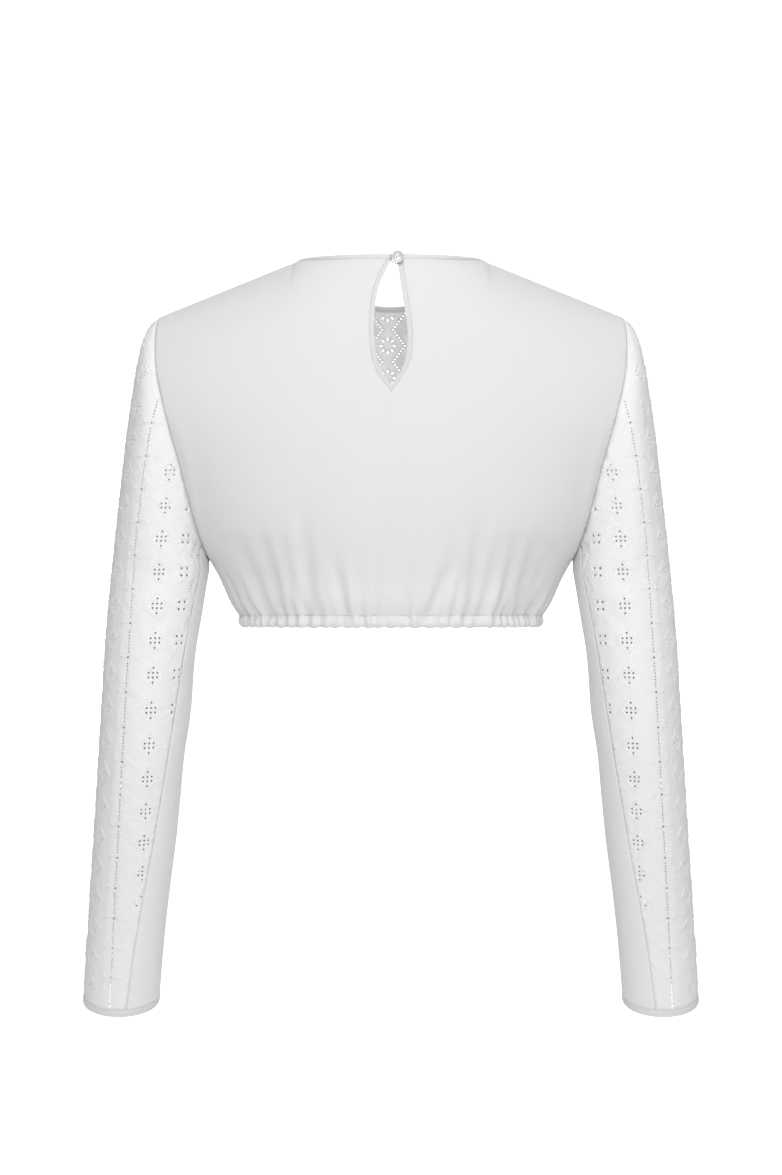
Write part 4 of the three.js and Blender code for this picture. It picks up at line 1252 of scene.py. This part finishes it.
def make_keyhole(cloth):
    """The narrow facing round the keyhole: a flat strip with a rolled inner edge, and its stitching."""
    # Distance from the opening, height over the cloth
    profile = [(BINDING, -0.25), (4.4, 0.1), (2.4, 0.2), (0.6, 0.18), (0, -0.05), (0, -0.5), (0.5, -0.9),
               (4.3, -0.8)]
    sections = np.stack([on_back(cloth, keyhole_edge(d), rise)[0] for d, rise in profile], axis=1)
    piece = profile_piece("keyhole_facing", sections, EDGE)
    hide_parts("keyhole_binding")
    points, normals = on_back(cloth, keyhole_edge(3.7), 0.12)
    line = ribbon_of_stitches("keyhole_stitches", points, normals, 2.3, SEWING)
    points, normals = on_back(cloth, BAR_TACK, 0.15)
    tack = ribbon_of_stitches("keyhole_bar_tack", points, normals, 1.6, SEWING, 0.7, 0.2)
    return [piece, line, tack]


def make_front():
    """The embroidered front panel, with a column of flowers down its middle."""
    cut = panel_cut("front")
    outline = panel_outline("front", cut)
    cloth = Cloth(panel("front"), panel_relief("front", cut), sign=SIGN["front"])
    piece, work = embroidered("front", cloth, cut, outline, FRONT_MOTIF, "front_panel", 3.1, EYELET)
    return piece, work, outline


# How far embroidery stays inside the cut edge
KEEP_INSIDE = {"eyelet": 1.6, "stroke": 1.4}


def embroidered(name, cloth, cut, outline, first_motif, node_name, pitch, material):
    """A piece of eyelet cloth: the holes are cut out, and rings, leaves and bars are worked round."""
    motifs = motif_places(outline, *first_motif)
    holes = spread(motifs, MOTIF_HOLES)
    near, inside = distance_to(holes[:, :2], outline)
    holes = holes[inside & (near > holes[:, 2] + KEEP_INSIDE["eyelet"])]
    strokes = spread(motifs, MOTIF_STROKES)
    reach = strokes[:, 2:3] * np.stack([np.cos(strokes[:, 4]), np.sin(strokes[:, 4])], axis=1)
    good = np.ones(len(strokes), bool)
    for end in (-1, 0, 1):
        near, inside = distance_to(strokes[:, :2] + end * reach, outline)
        good &= inside & (near > KEEP_INSIDE["stroke"])
    strokes = strokes[good]
    rings = [oval(x, y, rx, ry, turn) for x, y, rx, ry, turn in holes]
    piece = cloth_piece(name, cloth, cut, outline, rings, pitch, material)
    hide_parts(node_name)
    return piece, satin(name + "_embroidery", cloth, cut, holes, strokes, SATIN)


# Sleeves


LAST_RING = np.hypot(ARM[-1, 2] - ARM[-2, 2], ARM[-1, 0] - ARM[-2, 0])
CUFF_TOP = -float(smooth_read(ARM[:, 0], 1 - (CUFF_HEM + SEAM_GAP) / LAST_RING / (len(ARM) - 1)))
# The line of small eyelets down the back of the sleeve: columns level, x
GRAIN = np.array([
    (126, 199.4), (145, 204.6), (182, 211), (244, 218.9), (418, 231.3), (609, 245.8), (653, 249.2),
])


def sleeve_grain(across, width, points, level):
    """The shift that puts the line of small eyelets one column outside the diamonds."""
    middle = len(across) // 2
    seen = max(level, GRAIN[0, 0])
    row = sleeve(across, np.full(len(across), float(seen)))
    reach = np.concatenate([[0], np.cumsum(np.linalg.norm(np.diff(row, axis=0), axis=1))])
    back = slice(middle, middle + 90)
    at = np.interp(-np.interp(seen, GRAIN[:, 0], GRAIN[:, 1]), -row[back, 0], reach[back])
    outermost = -COLUMN - (at - reach[middle])
    return outermost - width[middle]


def run_along(level):
    """Length down the sleeve: the depth over the cap, then the length of the arm's middle line."""
    step = np.hypot(np.diff(ARM_DENSE["y"]), np.diff(ARM_DENSE["z"]))
    length = np.concatenate([[0], np.cumsum(step)]) + BICEPS_LEVEL
    return np.where(level < BICEPS_LEVEL, level, np.interp(level, -ARM_DENSE["z"], length))


def sleeve_outline(cut):
    """The flat outline of the outer sleeve: its cap, back seam, cuff and front seam."""
    back, front = UNDER_FROM["back"], UNDER_FROM["front"]
    front_share = np.linspace(front, 0, 84)
    back_share = np.linspace(0, back, 90)[1:]
    cap_across = np.concatenate([-front_share, back_share])
    cap_level = -np.concatenate([armhole_at("front", front_share)[2], armhole_at("back", back_share)[2]])
    back_seam = np.linspace(cap_level[-1], CUFF_TOP, 130)[1:]
    front_seam = np.linspace(CUFF_TOP, cap_level[0], 130)[:-1]
    cuff = np.linspace(back, -front, 60)[1:-1]
    back_edge, front_edge = np.full(len(back_seam), back), np.full(len(front_seam), -front)
    across = np.concatenate([cap_across, back_edge, cuff, front_edge])
    level = np.concatenate([cap_level, back_seam, np.full(len(cuff), CUFF_TOP), front_seam])
    return cut.cut_out(across, level)


def cap_begins(across):
    """The level at which the sleeve's cap begins."""
    share = np.minimum(np.abs(across), 1)
    return -np.where(across > 0, armhole_at("back", share)[2], armhole_at("front", share)[2])


def make_sleeves():
    """Both sleeves from one cut: the left one is the right one mirrored."""
    cut = FlatCloth(sleeve, 48.0, CUFF_LEVEL, cap_begins, sleeve_grain, run_along,
                    SLEEVE_EASE["from"], SLEEVE_EASE["factor"])
    outline = sleeve_outline(cut)
    relief = sleeve_relief(cut)
    for name, mirror in (("left", -1), ("right", 1)):
        cloth = Cloth(sleeve, relief, sign=SIGN["sleeve"], mirror=mirror)
        piece, work = embroidered("sleeve_" + name, cloth, cut, outline, SLEEVE_MOTIF,
                                  "sleeve_outer_" + name, 3.2, SLEEVE_EYELET)
        flat, area = cut_size(outline)
        [work] + make_cuff(name, mirror)
        make_under_sleeve(name, mirror)


# Soft cross folds inside the elbow, with an uneven spacing, between two levels
ELBOW_FOLDS = {"depth": 0.9, "spacing": 23, "sway": 1.5, "sway_spacing": 61,
               "from": 270, "to": 480, "margin": 60}


def make_under_sleeve(name, mirror):
    """The plain strip under the arm, from the back seam round to the front seam."""
    rows, columns = 150, 41
    w = np.linspace(-1, 1, columns)
    back, front = UNDER_FROM["back"], UNDER_FROM["front"]
    share = np.where(w <= 0, back + (1 - back) * (w + 1), 1 - (1 - front) * w)
    across = np.where(w <= 0, share, -share)
    begin = -np.where(w <= 0, armhole_at("back", share)[2], armhole_at("front", share)[2])
    v = np.linspace(0, 1, rows)[:, None]
    level = begin[None] + (CUFF_TOP - begin[None]) * v
    across = np.broadcast_to(across, level.shape)
    reach = (1 - np.abs(w))[None] * np.interp(level, [260, 650], [30, 45])

    def relief(a, l, points):
        """Soft cross folds at the elbow, and the dip at the seams."""
        sway = ELBOW_FOLDS["sway"] * np.sin(l / ELBOW_FOLDS["sway_spacing"])
        wave = ELBOW_FOLDS["depth"] * np.sin(l / ELBOW_FOLDS["spacing"] + sway)
        seen = window(l, ELBOW_FOLDS["from"], ELBOW_FOLDS["to"], ELBOW_FOLDS["margin"])
        soft = wave * seen * (1 - np.abs(w)) ** 2
        return -SEAM_DIP["sleeve"] * np.exp(-(reach / SEAM_DIP["half"]) ** 2) - soft

    cloth = Cloth(sleeve, relief, sign=SIGN["sleeve"], mirror=mirror)
    points, normals = cloth.at(across, level)
    normals = normals.reshape(-1, 3)
    points = points.reshape(-1, 3)
    flat = np.stack([(reach * np.sign(w + 1e-9)).ravel(), run_along(level).ravel()], axis=1)
    faces = facing(points, grid_faces(rows, columns), normals)
    piece = shell("under_sleeve_" + name, points, normals, faces, SHELL, UNDER, flat)
    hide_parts("sleeve_under_" + name)


def no_relief(across, level, points):
    """The plain surface."""
    return np.zeros_like(across)


def make_cuff(name, mirror):
    """The turned hem of the cuff: a narrow ring with a rolled edge and a line of stitches."""
    # Distance up from the lower edge, height over the cloth
    profile = [(6.8, -0.1), (6.4, 0.22), (3, 0.42), (0.6, 0.36), (0, 0.05), (0, -0.7), (0.6, -1.1),
               (5.6, -1.0)]
    across = np.linspace(-1, 1, 121)[:-1]
    plain = Cloth(sleeve, no_relief, sign=SIGN["sleeve"], mirror=mirror)
    slant = (ARM[-1, 0] - ARM[-2, 0]) / -LAST_RING

    def at(up, rise):
        """A ring on the sleeve, a little up from its lower edge."""
        return plain.at(across, np.full(across.shape, CUFF_LEVEL - up * slant), rise)

    sections = np.stack([at(up, rise)[0] for up, rise in profile], axis=1)
    piece = profile_piece("cuff_" + name, sections, EDGE, closed=True)
    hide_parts("cuff_hem_" + name)
    points, normals = at(4.6, 0.5)
    points, normals = np.vstack([points, points[:1]]), np.vstack([normals, normals[:1]])
    line = ribbon_of_stitches("cuff_stitches_" + name, points, normals, 2.6, SEWING)
    return [piece, line]


# Narrow edges


def neck_normal(side, turn):
    """Outward normal of the neckline's cloth, which becomes the shoulder's at the shoulder seam."""
    at = np.minimum(np.abs(turn), np.pi / 2 - 2e-3)
    du = np.subtract(neckline(side, at + 1e-3, 1), neckline(side, at - 1e-3, 1)).T
    dv = np.subtract(neckline(side, at, 1.1), neckline(side, at, 0.9)).T
    n = np.cross(du, dv) * FACING[side]
    n = n / np.linalg.norm(n, axis=-1, keepdims=True)
    shoulder = np.array([np.sin(SHOULDER_SLOPE), 0, np.cos(SHOULDER_SLOPE)])
    share = (np.sin(at) ** 8)[..., None]
    n = n * (1 - share) + shoulder * share
    n = n / np.linalg.norm(n, axis=-1, keepdims=True)
    return n * np.stack([np.sign(turn + 1e-12), np.ones_like(turn), np.ones_like(turn)], axis=-1)


def neck_at(side, turn, down, rise):
    """Points beside the neckline's edge, moved out from the cloth."""
    x, y, z = neckline(side, turn, down)
    return np.stack([x, y, z], axis=-1) + neck_normal(side, turn) * rise


def make_neck_band(name, side, begin, end, node_name):
    """The narrow turned edge of the neckline: a strip folded over the top, with its stitch line."""
    # Distance down from the neckline, height over the cloth
    profile = [(4.9, -0.2), (4.6, 0.12), (2.4, 0.2), (0.7, 0.2), (0, -0.1), (0, -0.7), (0.7, -1.0),
               (4.0, -1.0)]
    count = int(abs(end - begin) / np.pi * 130) + 20
    turn = np.linspace(begin, end, count)
    sections = np.stack([neck_at(side, turn, down, rise) for down, rise in profile], axis=1)
    piece = profile_piece(name, sections, EDGE)
    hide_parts(node_name)
    line = neck_at(side, turn, 3.2, 0.16)
    return [piece, ribbon_of_stitches(name + "_stitches", line, neck_normal(side, turn), 2.4, SEWING)]


def make_casing(side):
    """The elastic casing: a puffed band whose gathers run on from the panel, with its lower edge
    rolled in and slightly scalloped."""
    # Share of the casing's height below the panel, distance out
    profile = [(-0.14, -0.1), (-0.1, 0.2), (0.1, 0.45), (0.4, 0.95), (0.64, 0.85), (0.84, -0.1),
               (0.97, -1.5), (0.97, -2.6), (0.6, -3.2), (0.1, -2.6)]
    across = np.linspace(-1, 1, 421)
    surface = panel(side)
    level = np.full(across.shape, -float(HEM_Z))
    hem = surface(across, level)
    n = outward_of(surface)(across, level - 0.5) * SIGN[side]
    n[:, 2] = 0
    n /= np.linalg.norm(n, axis=1, keepdims=True)
    table = BACK_FOLDS if side == "back" else FRONT_FOLDS
    pull = GATHER_STRENGTH * gather_pull(side, across, np.zeros_like(across))
    pull = eased_pull(pull + FOLD_STRENGTH * folds(hem[:, 0], hem[:, 2], table, True))
    puff = ripple(across, CASING_PHASE[side])
    over = BLOUSING["rise"] * np.exp(-(BLOUSING["height"] / BLOUSING["half"]) ** 2)
    sections = []
    for down, out in profile:
        swell = np.sin(np.pi * np.clip(down, 0, 1))
        follow = 0.4 + 0.6 * (1 - np.clip(down, 0, 1)) ** 2 if out > -1.4 else 0.4
        above = max(1 - down, 0)
        pushed = out + (over + PUCKER["rise"] * puff) * above - follow * pull
        pushed = pushed + CASING_PUFF["out"] * puff * swell
        points = hem + n * pushed[:, None]
        points[:, 2] = HEM_Z - CASING_HEIGHT * down - CASING_PUFF["down"] * puff * max(down, 0) ** 3
        sections.append(points)
    sections = np.stack(sections, axis=1)
    piece = profile_piece("casing_puffs_" + side, sections, PLAIN)
    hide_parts("casing_" + side)
    line = sections[:, 1] + n * 0.12 - (0, 0, 0.9)
    return [piece, ribbon_of_stitches("casing_stitches_" + side, line, n, 2.5, SEWING)]


# Button and loop


def nape_face(z):
    """How far back the cloth's outer face lies near the nape."""
    return -(NECK_DEPTH["back"] - NAPE_SLOPE * z) - 0.3


SEAT = nape_face(BUTTON["z"] - SHANK["radius"]) - SEAM_GAP


def make_button():
    """A dished disc with a raised rim and two holes, cut flat and given its height by its radius."""
    a = np.linspace(0, 2 * np.pi, 73)[:-1]
    radius = BUTTON["radius"]
    outline = radius * np.stack([np.cos(a), np.sin(a)], axis=1)
    half = HOLES["apart"] / 2
    centres = spin(np.array([(-half, 0.0), (half, 0.0)]), HOLES_TILT)
    holes = [oval(x, y, HOLES["radius"], HOLES["radius"], corners=16) for x, y in centres]
    rings = [1.0, 2.4] + [row[0] for row in BUTTON_FACE[1:-1]]
    free = np.vstack([r * spin(outline[::2] / radius, 0.1 * r) for r in rings])
    clear = np.min([np.linalg.norm(free - c, axis=1) for c in centres], axis=0) > HOLES["radius"] + 0.2
    flat, faces, _ = cut_cloth(outline, holes, free[clear])
    r = np.linalg.norm(flat, axis=1)
    height = np.interp(r, *zip(*BUTTON_FACE))
    front = SEAT - SHANK["length"] - BUTTON["thickness"]
    points = np.stack([flat[:, 0] + BUTTON["x"], front - height, flat[:, 1] + BUTTON["z"]], axis=1)
    normals = np.broadcast_to((0.0, -1.0, 0.0), points.shape)
    faces = facing(points, faces, normals)
    disc = shell("button_disc", points, normals, faces, 1.4, PEARL, flat)
    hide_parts("button")
    strands = []
    for offset in (-0.28, 0.0, 0.28):
        t = np.linspace(0, np.pi, 12)
        along = np.cos(t) * (half + 0.1)
        local = spin(np.stack([along, np.full(12, offset)], axis=1), HOLES_TILT)
        y = front + 0.75 - 0.42 * np.sin(t)
        strands.append(np.stack([local[:, 0] + BUTTON["x"], y, local[:, 1] + BUTTON["z"]], axis=1))
    rods = [cord_sections(path, 0.16, 6, 0) for path in strands]
    y = np.linspace(SEAT + 0.2, front + 1.0, 6)
    stem = np.stack([np.full(6, BUTTON["x"]), y, np.full(6, BUTTON["z"])], axis=1)
    rods.append(cord_sections(stem, 1.0, 12, 0))
    for k, sections in enumerate(rods):
        profile_piece("button_thread_" + str(k + 1), sections, SEWING)


def cord_sections(path, radius, sides, twist):
    """Rings along a path. With a twist, each ring is two strands side by side that turn as they go."""
    ahead = np.gradient(path, axis=0)
    ahead /= np.linalg.norm(ahead, axis=1, keepdims=True)
    up = np.where(np.abs(ahead[:, 1:2]) > 0.9, (0.0, 0.0, 1.0), (0.0, 1.0, 0.0))
    side = np.cross(ahead, up)
    side /= np.linalg.norm(side, axis=1, keepdims=True)
    up = np.cross(side, ahead)
    a = 2 * np.pi * np.arange(sides) / sides
    length = np.concatenate([[0], np.cumsum(np.linalg.norm(np.diff(path, axis=0), axis=1))])
    size = radius * np.ones((len(path), sides))
    if twist:
        size = radius * (0.62 + 0.38 * np.abs(np.cos(a[None] - length[:, None] * twist)))
    ring = np.cos(a)[None, :, None] * side[:, None] + np.sin(a)[None, :, None] * up[:, None]
    return path[:, None] + size[..., None] * ring


def make_loop():
    """The thread loop under the button, a two-strand cord that hugs its left and lower rim."""
    angle = np.radians(np.linspace(LOOP["from"], LOOP["to"], 90))
    x = BUTTON["x"] + LOOP["radius"] * np.cos(angle)
    z = BUTTON["z"] + LOOP["radius"] * np.sin(angle)
    y = nape_face(z - LOOP["cord"]) - SEAM_GAP - LOOP["cord"]
    sections = cord_sections(np.stack([x, y, z], axis=1), LOOP["cord"], 12, 2.4)
    piece = profile_piece("thread_loop", sections, CORD)
    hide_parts("button_loop")


# Stage, light and camera


# Places and sizes of the stage in metres, the lens in millimetres
FLOOR_Z = -1.15
CAMERA = {"distance": 3.2, "height": -0.285, "lens": 112.7, "sensor": 36}
SKY_STRENGTH = 0.45
# Lamps: name, place, target, size, watts
LAMPS = [
    ("front", (0.15, -3.6, 0.7), (0, 0, -0.35), (0.7, 0.7), 52),
    ("over", (0.2, -1.5, 2.3), (0, 0, -0.2), (1.4, 1.0), 28),
    ("behind", (0.3, 3.2, 0.5), (0, 0, -0.2), (1.6, 1.6), 42),
]


def make_stage():
    """White paper: a floor that curves up into a backdrop far behind the garment."""
    width = np.linspace(-1.5, 1.5, 3)
    turn = np.linspace(0, np.pi / 2, 16)
    y = np.concatenate([[-3.0, 0.0, 2.0], 3.6 + 0.9 * np.sin(turn), [4.5]])
    z = np.concatenate([[FLOOR_Z] * 3, FLOOR_Z + 0.9 * (1 - np.cos(turn)), [2.4]])
    points = np.array([[(x, b, c) for x in width] for b, c in zip(y, z)]).reshape(-1, 3)
    mesh = bpy.data.meshes.new("paper")
    mesh.from_pydata(points.tolist(), [], [tuple(f) for f in grid_faces(len(y), 3)])
    mesh.polygons.foreach_set("use_smooth", [True] * len(mesh.polygons))
    paper = bpy.data.materials.new("white_paper")
    paper.use_nodes = True
    tree = paper.node_tree
    shader = tree.nodes["Principled BSDF"]
    shader.inputs["Base Color"].default_value = (0.85, 0.85, 0.85, 1)
    shader.inputs["Roughness"].default_value = 0.9
    shader.inputs["Emission Color"].default_value = (1, 1, 1, 1)
    axes = node(tree, "ShaderNodeSeparateXYZ")
    tree.links.new(node(tree, "ShaderNodeTexCoord").outputs["Object"], axes.inputs[0])
    glow = node(tree, "ShaderNodeMapRange", interpolation_type="SMOOTHSTEP")
    for socket, value in (("From Min", 0.9), ("From Max", 2.1), ("To Min", 0.05), ("To Max", 1.0)):
        glow.inputs[socket].default_value = value
    tree.links.new(axes.outputs["Y"], glow.inputs["Value"])
    tree.links.new(glow.outputs["Result"], shader.inputs["Emission Strength"])
    mesh.materials.append(paper)
    stage = bpy.data.objects.new("paper", mesh)
    bpy.context.scene.collection.objects.link(stage)


def soft_box(name, place, target, size, watts):
    """A rectangular lamp that looks at a target."""
    light = bpy.data.lights.new(name, "AREA")
    light.shape = "RECTANGLE"
    light.size, light.size_y = size
    light.energy = watts
    lamp = bpy.data.objects.new(name, light)
    bpy.context.scene.collection.objects.link(lamp)
    lamp.location = place
    lamp.rotation_euler = (Vector(target) - Vector(place)).to_track_quat("-Z", "Y").to_euler()


def make_light():
    """Even light all round, one lamp beside the camera, one above and one behind the garment."""
    world = bpy.data.worlds.new("studio")
    world.use_nodes = True
    sky = world.node_tree.nodes["Background"]
    sky.inputs["Color"].default_value = (1, 1, 1, 1)
    sky.inputs["Strength"].default_value = SKY_STRENGTH
    bpy.context.scene.world = world
    for lamp in LAMPS:
        soft_box(*lamp)
    bpy.context.scene.view_settings.view_transform = "Standard"


def make_camera():
    """A long lens straight at the wearer's back, framed as in the photo."""
    lens = bpy.data.cameras.new("camera")
    lens.lens, lens.sensor_width = CAMERA["lens"], CAMERA["sensor"]
    camera = bpy.data.objects.new("camera", lens)
    bpy.context.scene.collection.objects.link(camera)
    camera.location = (0, -CAMERA["distance"], CAMERA["height"])
    camera.rotation_euler = (np.pi / 2, 0, 0)
    bpy.context.scene.camera = camera


def outward_sign(surface, across, level, away):
    """Plus or minus one: which way the plain cross product of the slopes looks at one place."""
    n = outward_of(surface)(np.array([across]), np.array([float(level)]))[0]
    return 1 if np.dot(n, away) > 0 else -1


SIGN = {
    "back": outward_sign(panel("back"), 0.3, 150, (0, -1, 0)),
    "front": outward_sign(panel("front"), 0.3, 150, (0, 1, 0)),
    "sleeve": outward_sign(sleeve, 0.1, 400, (1, 0, 0)),
}

make_camera()
back_piece, back_cloth, back_outline = make_back()
front_piece, front_work, front_outline = make_front()
quarter = np.pi / 2
slit_left, slit_right = np.arcsin(np.array(KEYHOLE[1][1:]) / NECK_HALF_WIDTH)
back_trim = make_keyhole(back_cloth) + make_casing("back")
back_trim += make_neck_band("neck_edge_back_left", "back", -quarter, slit_left, "neck_band_back_left")
back_trim += make_neck_band("neck_edge_back_right", "back", slit_right, quarter, "neck_band_back_right")
front_trim = [front_work] + make_casing("front")
front_trim += make_neck_band("neck_edge_front", "front", -quarter, quarter, "neck_band_front")
back_flat, back_area = cut_size(back_outline)
front_flat, front_area = cut_size(front_outline)
make_sleeves()
make_button()
make_loop()
make_stage()
make_light()
